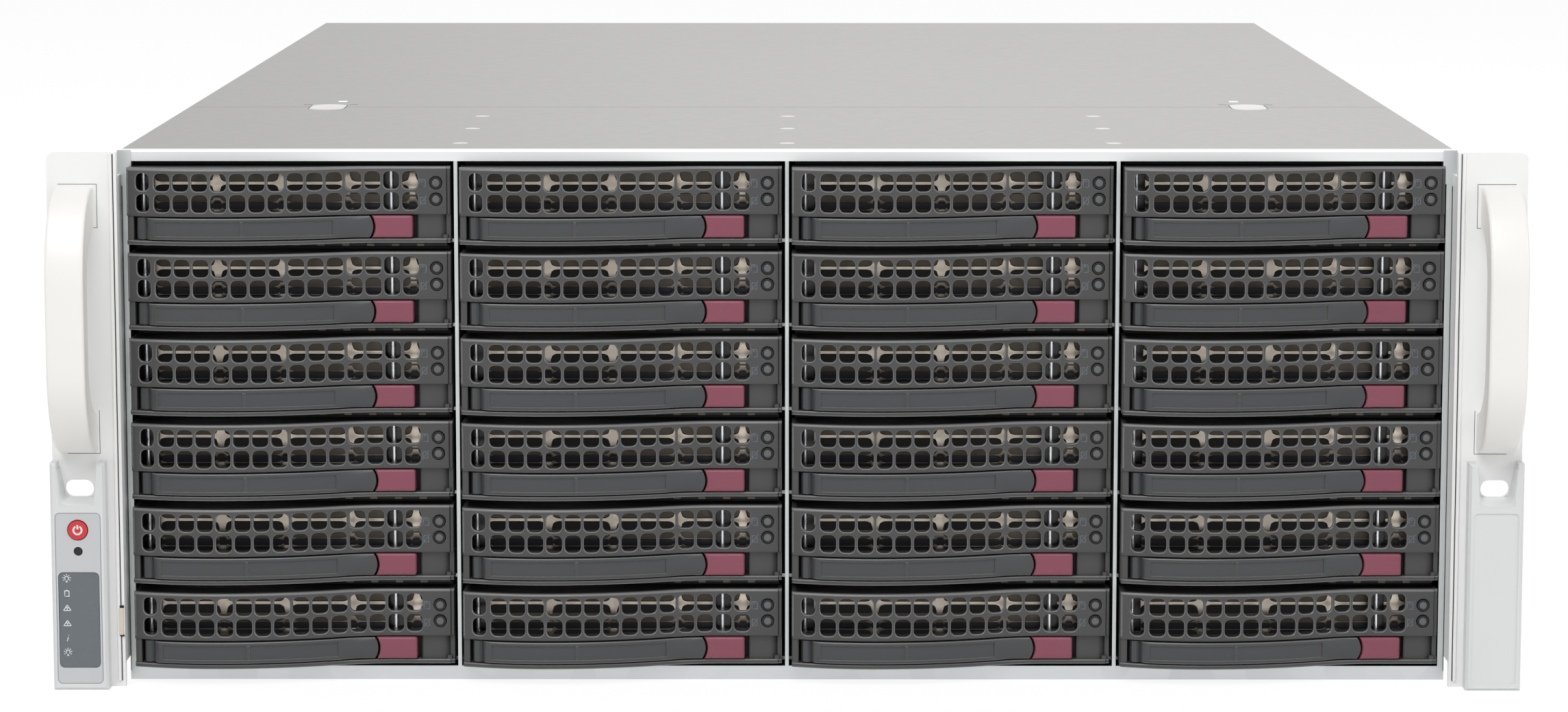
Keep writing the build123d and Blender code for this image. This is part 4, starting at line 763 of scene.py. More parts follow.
# %% Bezel
lines_x = np.unique(np.round(np.concatenate((
    END_X, cell_low, cell_high, run_low, run_high, lens_cell, (LENS_X - 1, LENS_X + 1))), 4))
lines_z = np.unique(np.concatenate((row_low, row_high, row_z - straight, row_z + straight)))
top_profile = np.array((
    (0, BAND_HIGH), (0, 24.45), (0.07, 24.8), (0.25, 25.07), (0.5, 25.22), (0.85, BEZEL_H),
    (BEZEL_T, BEZEL_H), (BEZEL_T, BAND_HIGH)))
CHANNEL_LOW, CHANNEL_HIGH, CHANNEL_BACK, FRAME_BACK, FRAME_HIGH = 1.5, 9.4, 5.4, 7.0, 10.6
low_profile = np.array((
    (0, BAND_LOW), (0, 9.7), (0.08, 9.5), (0.3, CHANNEL_HIGH), (CHANNEL_BACK, CHANNEL_HIGH),
    (CHANNEL_BACK, CHANNEL_LOW), (0.45, CHANNEL_LOW), (0.14, 1.4), (0, 1.15), (0, 0.35),
    (0.12, 0.1), (0.35, 0), (FRAME_BACK, 0), (FRAME_BACK, FRAME_HIGH), (BEZEL_T, FRAME_HIGH),
    (BEZEL_T, BAND_LOW)))


def skin(across, profile):
    """Open strip: a profile of (shift, height) carried along places across."""
    points = band_points(across[None], profile[:, :1], profile[:, 1:])
    return points.reshape(-1, 3), [grid_faces(len(profile), len(across))]


def plain_part(low, high):
    """Front and back of the band where it has no holes."""
    across = lines_x[(lines_x >= low - 0.01) & (lines_x <= high + 0.01)]
    sides = [np.stack((np.full(len(lines_z), shift), lines_z), axis=-1) for shift in (0, BEZEL_T)]
    return [skin(across, side) for side in sides]


outside = np.insert(lines_z[:, None], 0, 0, axis=1)
inside = np.insert(lines_z[:, None], 0, BEZEL_T, axis=1)[::-1]
section = np.concatenate((outside, top_profile[1:-1], inside, low_profile[-2:0:-1]))
ends = band_points(np.array((0, BEZEL_W))[:, None], section[None, :, 0], section[None, :, 1])
end_caps = (ends.reshape(-1, 3), [np.arange(2 * len(section)).reshape(2, -1)])
print("bezel section of", len(section), "points")

# %% [markdown]
# Rims and edges of the bezel get a painted highlight, a paler colour than its face, and the back
# of the channel is painted black as shade. So the faces of a strip are split by a mask over them:
# over the rows and places of a carried profile, or over the cells, rings and steps of the pierced
# band.

# %% Edges apart
TOP_EDGE, LOW_EDGES, CHANNEL_WALLS = [1, 2, 3], [6, 7, 9, 10], [3, 4]
LEFT_EDGE, RIM_ROW, RING_GAPS = 3, 1, 4


def picked(shape, block_shape, chosen):
    """Splits off some of a shape's first faces, which are numbered as a block of places
    whose first length is worked out from the others."""
    mask = np.zeros(len(shape[1][0]), bool).reshape(-1, *block_shape)
    mask[chosen] = True
    return parted(shape, mask)


gaps_x = len(lines_x) - 1
top_rest, top_edge = picked(skin(lines_x, top_profile), (gaps_x,), TOP_EDGE)
low_rest, low_edge = picked(skin(lines_x, low_profile), (gaps_x,), LOW_EDGES)
# The channel's back walls are painted black as shade.
low_rest, channel_shade = picked(low_rest, (gaps_x,), CHANNEL_WALLS)
left_front, left_back = plain_part(0, BAND_START)
left_rest, left_edge = picked(left_front, (len(left_front[1][0]) // (len(lines_z) - 1),),
                              np.s_[:, :LEFT_EDGE])
hole_rest, hole_rims = picked(hole_shape, (RING_GAPS, 4 * HOLE_STEPS), np.s_[:, RIM_ROW])
lens_rest, lens_rims = picked(lens_shape, (RING_GAPS, 4 * LENS_STEPS), np.s_[:, RIM_ROW])
bezel_skin = joined(
    hole_rest, lens_rest, left_rest, left_back, *plain_part(BAND_END, lens_cell[0]),
    *plain_part(lens_cell[1], BEZEL_W), top_rest, low_rest, end_caps)
bezel_highlight_faces = joined(hole_rims, lens_rims, left_edge, top_edge, low_edge)
print("bezel skin:", sum(len(face) for face in bezel_skin[1]), "faces")

# %% [markdown]
# A post stands at the pivot of the lever, and a pillar fills the channel beside the button. The
# pillar is rounded towards the right, which gives the tall highlight near its edge. Two walls
# run back from the bezel's ends to the tray's front plate. A black shelf closes the gap over
# the holes; its black is painted shade, so that the eye sees only dark behind the bezel's top.

# %% Post, pillar, stop and end walls
def upright(across, shifts, low, high, back):
    """Solid carried across: at each place a rectangle from its own front shift to a back
    shift, between two heights."""
    across, shifts = np.array(across), np.array(shifts)
    corner_shift = np.stack((shifts, np.full_like(shifts, back), np.full_like(shifts, back),
                             shifts), axis=-1)
    corner_up = np.array((low, low, high, high))[None]
    return carried(on_face(across[:, None], corner_shift, corner_up))


# Posts run a little into the channel's walls, so that no gap shows.
POST_LOW, POST_HIGH, POST_BACK = 1.3, 9.6, 5.6
post = upright((0.3, 1.9, 2.2, 2.4), (0.7, 0.7, 0.85, 1.3), POST_LOW, POST_HIGH, POST_BACK)
pillar_x = np.array((94.5, 94.6, 94.85, 95.3, 98.0, 101.0, 101.8, 102.6, 103.4, 104.2, 104.8,
                     105.3))
pillar_front = 1.6 + sag(4.6, np.maximum(pillar_x - 101.0, 0)) + np.interp(
    pillar_x, (94.5, 94.6, 94.85, 95.3), (0.8, 0.3, 0.08, 0))
pillar = upright(pillar_x, pillar_front, POST_LOW, POST_HIGH, POST_BACK)
stop = upright((103.0, 103.2, 104.5, 104.7), (0.9, 0.5, 0.5, 0.9), 1.2, 2.7, 2.0)
INNER_LEFT, INNER_RIGHT = 1.5, BEZEL_W - 1.5
WALL_OUT, WALL_SHIFT, WALL_LOW, WALL_HIGH, WALL_BACK = 0.1, 1.6, 0.1, 25.1, 8.0
left_wall = block((WALL_OUT, float(face_depth(0)) + WALL_SHIFT, WALL_LOW),
                  (INNER_LEFT, WALL_BACK, WALL_HIGH))
right_wall = block((INNER_RIGHT, FLAT_DEPTH + WALL_SHIFT, WALL_LOW),
                   (BEZEL_W - WALL_OUT, WALL_BACK, WALL_HIGH))
bezel_shape = joined(bezel_skin, post, pillar, stop, left_wall, right_wall)
SHELF_SHIFT, SHELF_BACK, SHELF_LOW, SHELF_HIGH = 1.7, 7.9, 24.7, 25.2
shelf_x = np.linspace(INNER_LEFT, INNER_RIGHT, 36)
shelf_depth = np.full((len(shelf_x), 4), SHELF_BACK)
shelf_depth[:, [0, 3]] = face_depth(shelf_x)[:, None] + SHELF_SHIFT
shade_shelf = carried(points_at(shelf_x[:, None], shelf_depth,
                          (SHELF_LOW, SHELF_LOW, SHELF_HIGH, SHELF_HIGH)))
print("bezel:", sum(len(face) for face in bezel_shape[1]), "faces")

# %% [markdown]
# ## The grille and the rods behind the holes
# Through the air holes the tray's pressed front shows: a plate painted brown as shade, a bright
# rolled bar that widens into a web where the slots of the plate meet, its pale colour partly a
# painted highlight and darker in the lower rows as painted shade, and dark openings under it,
# painted blue grey and black as shade. Two polished rods stand beside them. The bar is a strip
# whose upper and lower edge open out by a circle's sag near each web.

# %% Tray grille
web_x = np.array((6.3, 27.9, 49.4, 70.9, 92.5))
FILLET, WEB_HALF = 2.4, 1.0
BAR_LEFT, BAR_RIGHT, BAR_BACK = 4.0, 101.5, 7.9


def web_flare(across, reach):
    """How far the bar widens: nothing away from a web, then a fillet's circle, then the
    web itself."""
    gap = np.abs(np.asarray(across)[:, None] - web_x[None]).min(axis=1)
    fillet = sag(FILLET, WEB_HALF + FILLET - gap)
    return np.select([gap < WEB_HALF - 0.01, gap < WEB_HALF + FILLET], [reach, fillet], 0.0)


def bar_with_webs(centre, half, rise, fall, front):
    """Slightly crowned strip of a bar with webs: the height runs from its lower to its
    upper edge, and its middle stands 0.3 mm proud."""
    near = np.linspace(-WEB_HALF - FILLET, WEB_HALF + FILLET, 15)
    across = np.concatenate(((BAR_LEFT, BAR_RIGHT), *(x + near for x in web_x)))
    across = np.unique(np.round(np.clip(across, BAR_LEFT, BAR_RIGHT), 3))
    top = centre + half + web_flare(across, rise)
    low = centre - half - web_flare(across, fall)
    share = np.array((0, 0.15, 0.5, 0.85, 1))[:, None]
    crown = np.array((0.3, 0.06, 0, 0.06, 0.3))[:, None]
    height = low[None] + share * (top - low)[None]
    grid = points_at(across, front + crown, height)
    return slab(grid, grid * (1, 0, 1) + (0, BAR_BACK, 0))


PLATE_BACK = 7.95
grille_plate = joined(
    block((INNER_LEFT, 7.3, 19.2), (INNER_RIGHT, PLATE_BACK, 22.6)),
    block((INNER_LEFT, 7.5, 12.6), (INNER_RIGHT, PLATE_BACK, 15.4)))
blue_shade_plate = block((INNER_LEFT, 7.6, 10.0), (INNER_RIGHT, PLATE_BACK, 12.7))
bar = bar_with_webs(18.9, 0.65, 3.0, 3.2, 6.9)
low_bar = bar_with_webs(12.5, 0.14, 1.8, 0.2, 7.2)
last_bar = bar_with_webs(9.9, 0.14, 0.2, 2.4, 7.2)
shade_back = block((1.0, 7.7, 5.0), (104.6, 7.98, 26.4))
print("bar of", sum(len(face) for face in bar[1]), "faces")

# %% Rods
def full_turn(points):
    """Angles of so many points round a circle."""
    return np.arange(points) / points * 2 * math.pi


def rod(across, depth, low, high, radius, points=16):
    """Upright round rod: a circle carried up."""
    return prism((across, depth) + radius * direction(full_turn(points)), low, high)


ROD_LOW, ROD_HIGH, ROD_R = 10.2, 24.4, 0.7
rods = joined(*[rod(across, depth, ROD_LOW, ROD_HIGH, ROD_R)
                for across, depth in ((4.4, 2.0), (85.8, 3.0))])
# Dark blocks behind the rods are painted shade round them.
rod_shades = joined(block((2.0, 3.2, ROD_LOW), (7.4, 3.8, ROD_HIGH)),
                    block((83.2, 4.0, ROD_LOW), (88.4, 4.6, ROD_HIGH)))
print("rods of", 2 * ROD_R, "mm")

# %% [markdown]
# ## The pull lever
# The lever is a bar whose section stays almost the same along its length: flat front with soft
# edges, a sunk panel for a paper label, a ridge across it, a domed tip with a round end, and
# a rounded heel beside the barrel it swings on. So it is a stack of loops, one at each place
# across, whose height and front shift are formulas of that place.

# %% Lever
LEVER_LOW, LEVER_HIGH = 1.9, 9.0
LEVER_MID = (LEVER_LOW + LEVER_HIGH) / 2
LEVER_HALF = (LEVER_HIGH - LEVER_LOW) / 2
LEVER_PROUD, LEVER_BACK, PANEL_SUNK = 0.8, 3.4, 0.45
TIP_X, TIP_R, DOME_START, DOME_LENGTH = 74.2, 6.0, 67.35, 12.85
lever_x = np.array((
    6.4, 6.5, 6.8, 7.3, 8.0, 8.9, 9.5, 9.65, 13, 17, 21, 25, 29, 33, 37.4, 37.55, 38.4, 38.55,
    43, 48, 53, 58, 63, 67.2, 67.35, 69, 70.5, 72, 73.5, 75, 76.5, 78, 79.04, 79.5, 79.8, 80.0,
    80.12, 80.19))
lever_v = np.array((-1, -0.98, -0.93, -0.86, -0.69, -0.65, -0.35, 0, 0.35, 0.65, 0.69, 0.86,
                    0.93, 0.98, 1))
edge_round = np.interp(np.abs(lever_v), (0.86, 0.93, 0.98, 1), (0, 0.05, 0.2, 0.5))
panel = np.interp(lever_x, (9.5, 9.65, 37.4, 37.55, 38.4, 38.55, 67.2, 67.35),
                  (0, 1, 1, 0, 0, 1, 1, 0))
sunk = np.where(np.abs(lever_v) < 0.67, PANEL_SUNK, 0)
heel = 3.2 * (1 - np.sqrt(1 - np.clip((8.9 - lever_x) / 2.5, 0, 1)**2))
dome = np.sin(np.clip((lever_x - DOME_START) / DOME_LENGTH, 0, 1) * math.pi)
past_tip = np.maximum(lever_x - TIP_X, 0)
half_height = np.minimum(LEVER_HALF, np.sqrt(TIP_R**2 - past_tip**2))
front_shift = (-LEVER_PROUD + edge_round[None] + panel[:, None] * sunk[None] + heel[:, None]
               + dome[:, None] * (0.8 * lever_v[None]**2 - 0.25))
front_up = LEVER_MID + half_height[:, None] * lever_v[None]
back_shift = np.full((len(lever_x), 2), LEVER_BACK)
back_up = LEVER_MID + half_height[:, None] * np.array((1, -1))[None]
lever_bar = carried(on_face(lever_x[:, None], np.hstack((front_shift, back_shift)),
                            np.hstack((front_up, back_up))))
# The long edges, the borders of the two panels and their ends catch light, so they get the painted
# highlight.
PANEL_ROWS, PANEL_ENDS = np.s_[6:24], (6, 14, 16, 23)
highlight_mask = np.zeros((len(lever_x) - 1, len(lever_v) + 2), bool)
highlight_mask[:, [0, 1, 12, 13]] = True
highlight_mask[PANEL_ROWS, [4, 9]] = True
highlight_mask[np.ix_(PANEL_ENDS, range(4, 10))] = True
lever_bar, lever_highlight_faces = parted(lever_bar, highlight_mask)
PIVOT_X = 5.2
PIVOT_DEPTH = float(face_depth(PIVOT_X)) + 2.6
turns = full_turn(32)
fluted = (1.92 + 0.08 * np.cos(turns * 8))[:, None]
barrel = prism((PIVOT_X, PIVOT_DEPTH) + fluted * direction(turns), LEVER_LOW, LEVER_HIGH)
neck = upright((PIVOT_X, 6.6), (2.0, 2.0), LEVER_LOW + 0.1, LEVER_HIGH - 0.1, 3.3)
lever_shape = joined(lever_bar, barrel, neck)
pin = rod(PIVOT_X, PIVOT_DEPTH, 1.4, 9.5, 0.9, 12)
print("lever:", sum(len(face) for face in lever_shape[1]), "faces")

# %% [markdown]
# ## The release button
# The button is a soft-edged block whose left side is hollowed to wrap the lever's round tip. A
# grid of points covers its front: the left border is an arc, and near each border the front
# falls back by a small circle's sag.

# %% Button
BUTTON_LOW, BUTTON_HIGH, BUTTON_RIGHT = 1.8, 9.1, 93.2
BUTTON_EDGE, BUTTON_PROUD, BUTTON_BACK, TIP_GAP = 0.75, 0.85, 5.1, 0.6
share_x = np.array((0, 0.012, 0.03, 0.06, 0.2, 0.4, 0.6, 0.8, 0.94, 0.97, 0.988, 1))[None]
share_z = np.array((0, 0.02, 0.05, 0.1, 0.25, 0.42, 0.58, 0.75, 0.9, 0.95, 0.98, 1))[:, None]
height = BUTTON_LOW + (BUTTON_HIGH - BUTTON_LOW) * share_z
left_border = TIP_X + np.sqrt((TIP_R + TIP_GAP)**2 - (height - LEVER_MID)**2)
from_edge = (BUTTON_HIGH - BUTTON_LOW) / 2 - np.abs(height - LEVER_MID)
corner = sag(BUTTON_EDGE, np.maximum(BUTTON_EDGE - from_edge, 0))
right_border = BUTTON_RIGHT - corner
width = right_border - left_border
button_x = left_border + width * share_x
button_z = np.broadcast_to(height, button_x.shape)
rim_gap = np.minimum.reduce((button_x - left_border, right_border - button_x,
                             button_z - BUTTON_LOW, BUTTON_HIGH - button_z))
button_front = -BUTTON_PROUD + sag(BUTTON_EDGE, np.maximum(BUTTON_EDGE - rim_gap, 0))
button_shape = slab(on_face(button_x, button_front, button_z),
                    on_face(button_x, BUTTON_BACK, button_z))
print("button:", sum(len(face) for face in button_shape[1]), "faces")

# %% [markdown]
# ## Lenses and icons
# Each tray has two light pipes that end in domes inside dark rings, with a small printed sign
# beside each: a disk, and a disk that is struck through. The rings and domes are profiles spun
# round an axis. The signs are strokes of constant width, laid just proud of the bezel.

# %% Spun shapes and strokes
def spun(profile, across, up, points=20):
    """Profile of (radius, depth) turned round a level axis through a place."""
    profile = np.asarray(profile, float)
    radius, depth = profile[:, :1], profile[:, 1:]
    way = direction(full_turn(points))
    turned = points_at(across + radius * way[:, 0], depth, up + radius * way[:, 1])
    return turned.reshape(-1, 3), [grid_faces(len(profile), points, True)]


CROSSING_STEP = 0.003


def strokes(paths, width, front, thick=0.05):
    """Ribbon of one width along each path, with mitred corners: a corner is moved by half
    the width times (n1 + n2) / (1 + n1 . n2), of the normals of its two runs. Each ribbon
    lies a CROSSING_STEP before the last one, so that crossings stay clean."""
    ribbons = []
    for number, path in enumerate(paths):
        path = np.asarray(path, float)
        way = np.diff(path, axis=0)
        out = np.stack((-way[:, 1], way[:, 0]), -1) / np.linalg.norm(way, axis=1, keepdims=True)
        closed = np.allclose(path[0], path[-1])
        before = np.concatenate((out[-1:] if closed else out[:1], out))
        after = np.concatenate((out, out[:1] if closed else out[-1:]))
        mitre = (before + after) / (1 + (before * after).sum(axis=1, keepdims=True)) * width / 2
        sides = np.stack((path + mitre, path - mitre), axis=1)
        near = points_at(sides[..., 0], front - CROSSING_STEP * number, sides[..., 1])
        ribbons.append(slab(near, near + (0, thick, 0)))
    return joined(*ribbons)


print("crossing strokes step by", CROSSING_STEP, "mm")

# %% Lenses and icons
ring_profile = ((0, 7.9), (2.03, 7.9), (2.03, -1.55), (1.9, -1.75), (1.6, -1.8), (1.5, -1.6),
                (0, -1.6))
dome = (0, -1.35) + direction(np.linspace(0, math.pi / 2, 6)) * (1.5, -0.42)
dome_profile = np.concatenate((((0, -1.2), (1.5, -1.2)), dome))
lens_rings = joined(*[spun(ring_profile, LENS_X, z) for z in lens_z])
lens_domes = joined(*[spun(dome_profile, LENS_X, z) for z in lens_z])
SIGN_GAP = 0.03
disk_sign = [
    ((95.6, 18.5), (95.6, 21.0), (96.9, 21.0), (97.4, 20.6), (97.4, 18.5), (95.6, 18.5)),
    ((96.2, 21.0), (96.2, 20.3), (96.8, 20.3))]
struck_sign = [
    ((95.7, 12.9), (95.7, 15.0), (96.8, 15.0)),
    ((97.3, 14.5), (97.3, 12.9), (96.2, 12.9)),
    ((95.4, 12.4), (97.7, 15.5))]
signs = strokes(disk_sign + struck_sign, 0.22, FLAT_DEPTH - SIGN_GAP)
print("signs:", sum(len(face) for face in signs[1]), "faces")

# %% [markdown]
# ## All twenty-four trays
# One tray rides on its own bodies, so that it can be pulled out by itself, and the others move
# by columns. Copies are made by adding the places to the arrays, which is quick and keeps each
# piece one mesh.

# %% Trays
def add_trays(group, places, bodies, replaced):
    """Pieces of one group of trays: bezels with grille and lenses, levers, buttons. bodies
    and replaced name the CAD bodies and nodes of bezels, levers, buttons and lenses."""
    bezels, levers, buttons = bodies

    def add(part, pairs, body, nodes_replaced=()):
        shapes = [(repeated(shape, places), finish) for shape, finish in pairs]
        add_piece(f"{group}_{part}", shapes, body, nodes_replaced)

    add("bezel_fine", ((bezel_shape, bezel_plastic), (bezel_highlight_faces, bezel_highlight),
                       (pin, black_gloss), (channel_shade, black_plastic),
                       (shade_shelf, black_plastic), (signs, grey_ink)),
        bezels, replaced[0])
    add("grille", ((grille_plate, chromate_deep_shade), (blue_shade_plate, blue_painted_shade),
                   (bar, beige_chromate_and_highlight), (low_bar, chromate_lower_shade), (last_bar, chromate_lower_shade),
                   (shade_back, black_shade_paint), (rod_shades, black_gloss),
                   (rods, polished_rod)), bezels)
    add("lenses", ((lens_rings, black_gloss), (lens_domes, lens_plastic)), bezels,
        replaced[3])
    add("lever_fine", ((lever_shape, lever_plastic), (lever_highlight_faces, bezel_highlight)), levers,
        replaced[1])
    add("button_fine", ((button_shape, burgundy_plastic),), buttons,
        replaced[2])


add_trays("tray", hero_place, ("tray", "tray_lever", "tray_button"),
          (("tray_bezel",), ("tray_lever",), ("tray_button",), ("tray_light_pipes",)))
for n, places in zip(columns, column_places):
    name = f"column_{n}"
    add_trays(name, places, (f"{name}_trays", f"{name}_levers", f"{name}_buttons"),
              ((f"{name}_bezels",), (f"{name}_levers",), (f"{name}_buttons",), ()))

# %% [markdown]
# ## Shield springs between the rows
# In the black gap over each tray but the topmost runs a dark strip with small raised fingers,
# which touches the tray above and keeps stray signals in. Its black is also painted shade that
# keeps the gap dark, and the fingers take the brown painted shade of the chromate. It is a long
# block and a row of little ones.

# %% Spring strips
FINGER_PITCH, SPRING_LOW = 8.2, 26.9
strip = block((INNER_LEFT, 2.0, SPRING_LOW), (INNER_RIGHT, 2.6, 27.75))
fingers = repeated(block((0, 1.3, SPRING_LOW), (2.4, 2.1, 27.65)),
                   [(x, 0, 0) for x in np.arange(4, 100, FINGER_PITCH)])
strip_places = [(x, 0, z) for places in column_places for x, _, z in places
                if z < hero_place[0][2] - 1]
add_piece("shield_springs", [
    (repeated(strip, strip_places), black_plastic),
    (repeated(fingers, strip_places), chromate_deep_shade)], "chassis")

# %% [markdown]
# ## Handles
# Each ear carries a bow handle, cast in one piece and painted a warm white. Its outline from the
# side is an outer and an inner path whose feet are quarter ellipses, and its section is a
# rectangle with soft edges. Loops of that section are carried from one foot to the other.

# %% Handles
EAR_FACE = -11.6
HANDLE_LOW, HANDLE_TOP, HANDLE_HALF_W, HANDLE_SOFT = 78.4, 166.2, 6.3, 1.2
OUTER_LENGTH, OUTER_REACH = 30.0, 25.0
INNER_START, INNER_LENGTH, INNER_REACH = 13.8, 17.0, 16.0


def foot(start, length, out):
    """Path of one foot, a quarter of an ellipse: depth is the reach times the root of
    1 - (1 - share)^2, so it leaves the ear squarely and ends level."""
    share = np.linspace(0, 1, 20)**1.7
    return np.stack((EAR_FACE - out * np.sqrt(1 - (1 - share)**2), start + length * share), axis=-1)


def both_feet(path):
    """A foot's path and its mirror image over the middle of the handle."""
    mirrored = path[::-1] * (1, -1) + (0, HANDLE_LOW + HANDLE_TOP)
    return np.concatenate((path, mirrored))


outer = both_feet(foot(HANDLE_LOW, OUTER_LENGTH, OUTER_REACH))
inner = both_feet(foot(HANDLE_LOW + INNER_START, INNER_LENGTH, INNER_REACH))
swing, side = quarter_turns(5)
swing = swing * HANDLE_SOFT
reach = np.linalg.norm(outer - inner, axis=1)[:, None]
section_x = side[:, 0] * (HANDLE_HALF_W - HANDLE_SOFT) + swing[:, 0]
depth_share = 0.5 + (side[:, 1] * (reach / 2 - HANDLE_SOFT) + swing[:, 1]) / reach
bow = inner[:, None] + depth_share[..., None] * (outer - inner)[:, None]
handle_x = (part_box("ear_handles")[0].x * 1000 + HANDLE_HALF_W,
            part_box("ear_handles")[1].x * 1000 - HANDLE_HALF_W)
handles = joined(*[carried(points_at(middle + section_x, bow[..., 0], bow[..., 1]))
                   for middle in handle_x])
add_piece("ear_handles_fine", [(handles, cream_paint)], "chassis",
          ("ear_handles",))

# %% [markdown]
# ## Scoops and strips on the ears
# Round each rack slot the housing is hollowed by a scoop: a fillet section carried along a U,
# which fades out towards both prong tips. Between each ear and the body stands a bright rounded
# edge strip with dark gaps beside it, painted black as shade, and a small tan clip holds the
# control panel's cable, with the shade above and below it painted black too.

# %% Scoops
def on_both_sides(shape):
    """A shape and its mirror image on the other side of the body."""
    return joined(shape, (shape[0] * (-1, 1, 1), shape[1]))


SCOOP_MID, SCOOP_LOW, SCOOP_TOP, SCOOP_R, SCOOP_FADE = -232.25, 61.5, 73.5, 3.2, 7.0
quarter = direction(np.radians(np.linspace(180, 270, 8)))
corner_hub = np.array((-5.9 + SCOOP_R, SCOOP_LOW + SCOOP_R))
left_arc = corner_hub + SCOOP_R * quarter
left_side = np.linspace((-6.6, SCOOP_TOP), left_arc[0], 8)[:-1]
half_path = np.concatenate((left_side, left_arc, ((0, SCOOP_LOW),)))
half_way = np.concatenate((np.tile((1.0, 0.0), (len(left_side), 1)), -quarter, ((0.0, 1.0),)))
scoop_path = np.concatenate((half_path, half_path[-2::-1] * (-1, 1)))
scoop_way = np.concatenate((half_way, half_way[-2::-1] * (-1, 1)))
# The section: how far in from the path, and how deep.
scoop_in = np.array((-1.4, 0.1, 0.5, 1.0, 1.5, 1.9, 2.1, -1.4))
scoop_depth = np.array((-17.9, -17.9, -17.5, -16.4, -14.8, -13.0, -11.65, -11.65))
fade = np.clip((SCOOP_TOP - scoop_path[:, 1]) / SCOOP_FADE, 0.05, 1)
fade = fade * (0.4 + 0.6 * np.abs(scoop_way[:, 1]))
scoop_reach = np.where(scoop_in > 0, scoop_in * fade[:, None], scoop_in)
flat_path = scoop_path[:, None] + scoop_way[:, None] * scoop_reach[..., None]
scoop = carried(points_at(SCOOP_MID + flat_path[..., 0], scoop_depth, flat_path[..., 1]))
add_piece("ear_scoops", [(on_both_sides(scoop), white_plastic)], "chassis")

# %% Strips
STRIP_MID, STRIP_HALF, STRIP_LOW, STRIP_HIGH = -220.45, 0.65, 2.0, 176.6
LAID_ON = EAR_FACE - 0.02
strip_x = np.linspace(-1, 1, 7)
strip_front = EAR_FACE - 0.1 - 0.5 * np.sqrt(1 - strip_x**2)
strip_section = np.concatenate((
    np.stack((STRIP_MID + STRIP_HALF * strip_x, strip_front), axis=-1),
    ((STRIP_MID + STRIP_HALF, EAR_FACE), (STRIP_MID - STRIP_HALF, EAR_FACE))))
ear_strip = prism(strip_section, STRIP_LOW, STRIP_HIGH)
ear_gap_shades = joined(
    block((STRIP_MID + STRIP_HALF, EAR_FACE - 0.12, STRIP_LOW), (-219.5, LAID_ON, STRIP_HIGH)),
    block((-218.45, -0.25, 3), (-218.25, -0.02, 165)))
CLIP_LOW, CLIP_HIGH = 17.4, 26.4
clip = block((-220.3, EAR_FACE - 0.8, CLIP_LOW), (-218.9, LAID_ON, CLIP_HIGH))
clip_gap_shades = joined(block((-220.4, EAR_FACE - 0.5, CLIP_HIGH), (-218.7, LAID_ON, 27.2)),
                   block((-220.4, EAR_FACE - 0.5, 16.8), (-218.7, LAID_ON, CLIP_LOW)))

tab_arc = (-217.3, 168.2) + 2.5 * direction(np.radians(np.linspace(180, 270, 6)))
tab = prism(np.concatenate((((-215.2, 176.8), (-219.8, 176.8)), tab_arc, ((-215.2, 165.7),))),
            -0.35, 0.85, 1)
foot_x = -handle_x[1] + HANDLE_HALF_W
foot_lines = strokes([
    ((foot_x - 11.5, 166.7), (foot_x + 1.1, 166.7), (foot_x + 1.1, 152.4), (foot_x - 0.2, 152.4)),
    ((foot_x - 10.0, 77.9), (foot_x + 0.6, 77.9), (foot_x + 0.6, 92.2))], 0.2, EAR_FACE - SIGN_GAP)
add_piece("ear_strips", [
    (on_both_sides(ear_strip), white_paint), (on_both_sides(tab), galvanised_steel),
    (on_both_sides(foot_lines), grey_ink),
    (joined(on_both_sides(ear_gap_shades), clip_gap_shades), black_shade_paint), (clip, beige_chromate_and_highlight)],
    "chassis")

# %% [markdown]
# ## Signs on the control panel
# The slate window has six printed signs: a lamp, a disk, two network trees, a slanted stroke
# with a dot, which stands for information, and a second lamp. The power key carries the usual
# broken ring with a stroke. They are general signs of no maker. Each is drawn round its own
# middle and then moved to its height.

# %% Window signs
SIGN_X = -236.4
WINDOW_FACE = float((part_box("status_window")[0].y - FRONT_Y) * 1000)


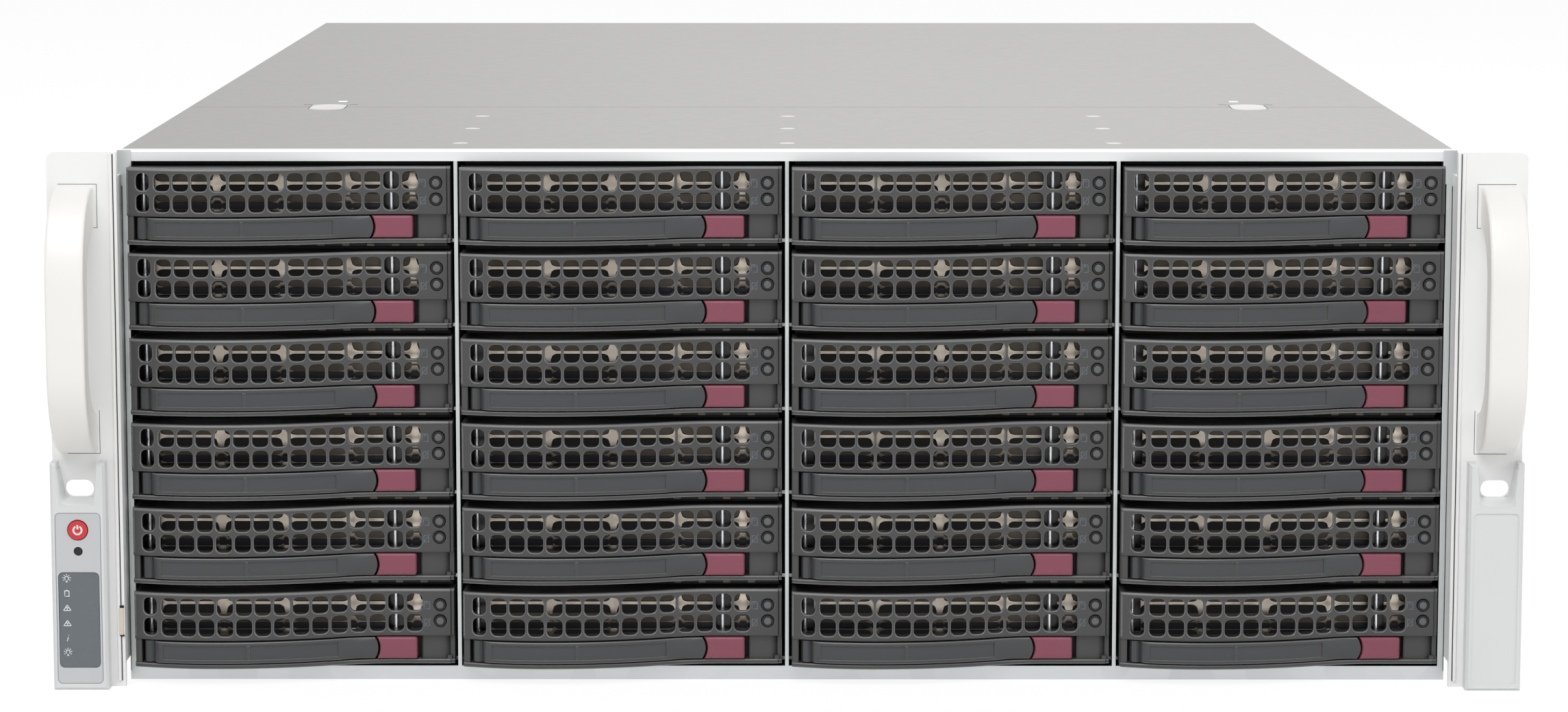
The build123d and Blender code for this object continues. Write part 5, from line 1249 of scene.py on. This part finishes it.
def arc_path(middle, radius, start, stop, count=14):
    """Points along part of a circle, between two angles in degrees."""
    return middle + radius * direction(np.radians(np.linspace(start, stop, count)))


def moved(paths, up):
    """Paths of a sign, moved to the column of signs and to a height."""
    return [np.add(path, (SIGN_X, up)) for path in paths]


bulb = np.array((0, 0.2))
rays = [bulb + np.outer((1.0, 1.4), direction(turn)) for turn in np.radians(range(-30, 211, 40))]
lamp_sign = [arc_path(bulb, 0.65, -50, 230), ((-0.3, -0.7), (0.3, -0.7)),
             ((-0.3, -1.0), (0.3, -1.0)), *rays]
tray_sign = [((-0.7, -0.9), (-0.7, 0.9), (0.7, 0.9), (0.7, -0.9), (-0.7, -0.9)),
             ((-0.3, 1.1), (0.3, 1.1))]
tree_sign = [((-1.2, -0.8), (1.2, -0.8)), ((0, 1.0), (-1.2, -0.8)), ((0, 1.0), (1.2, -0.8)),
             ((-0.6, 0.1), (0.6, 0.1)), ((0, 0.1), (0, -0.8))]
note_sign = [((-0.2, -0.7), (0.2, 0.7)), ((0.25, 1.2), (0.32, 1.4))]
window_paths = [path for sign, up in (
    (lamp_sign, 37.2), (tray_sign, 32.3), (tree_sign, 27.5), (tree_sign, 22.4),
    (note_sign, 17.1), (lamp_sign, 12.6)) for path in moved(sign, up)]
mark_paths = [((-229.2, z + 0.7), (-226.6, z + 0.7), (-226.6, z - 0.9))
              for z in (37.6, 32.6, 27.6, 22.4, 17.4, 12.4)]
window_signs = strokes(window_paths, 0.28, WINDOW_FACE - SIGN_GAP)
window_marks = strokes(mark_paths, 0.16, WINDOW_FACE - 0.02, 0.04)
add_piece("window_signs", [(window_signs, white_ink), (window_marks, grey_ink)], "chassis")

# %% Power sign
power_low, power_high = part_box("power_button")
power_middle = np.array((-232.4, (power_low.z + power_high.z) / 2 * 1000))
power_face = float((power_low.y - FRONT_Y) * 1000)
power_paths = [arc_path(power_middle, 1.35, 118, 422, 22),
               (power_middle + (0, 0.3), power_middle + (0, 1.75))]
add_piece("power_sign", [(strokes(power_paths, 0.62, power_face - SIGN_GAP), white_ink)],
          "power_button")
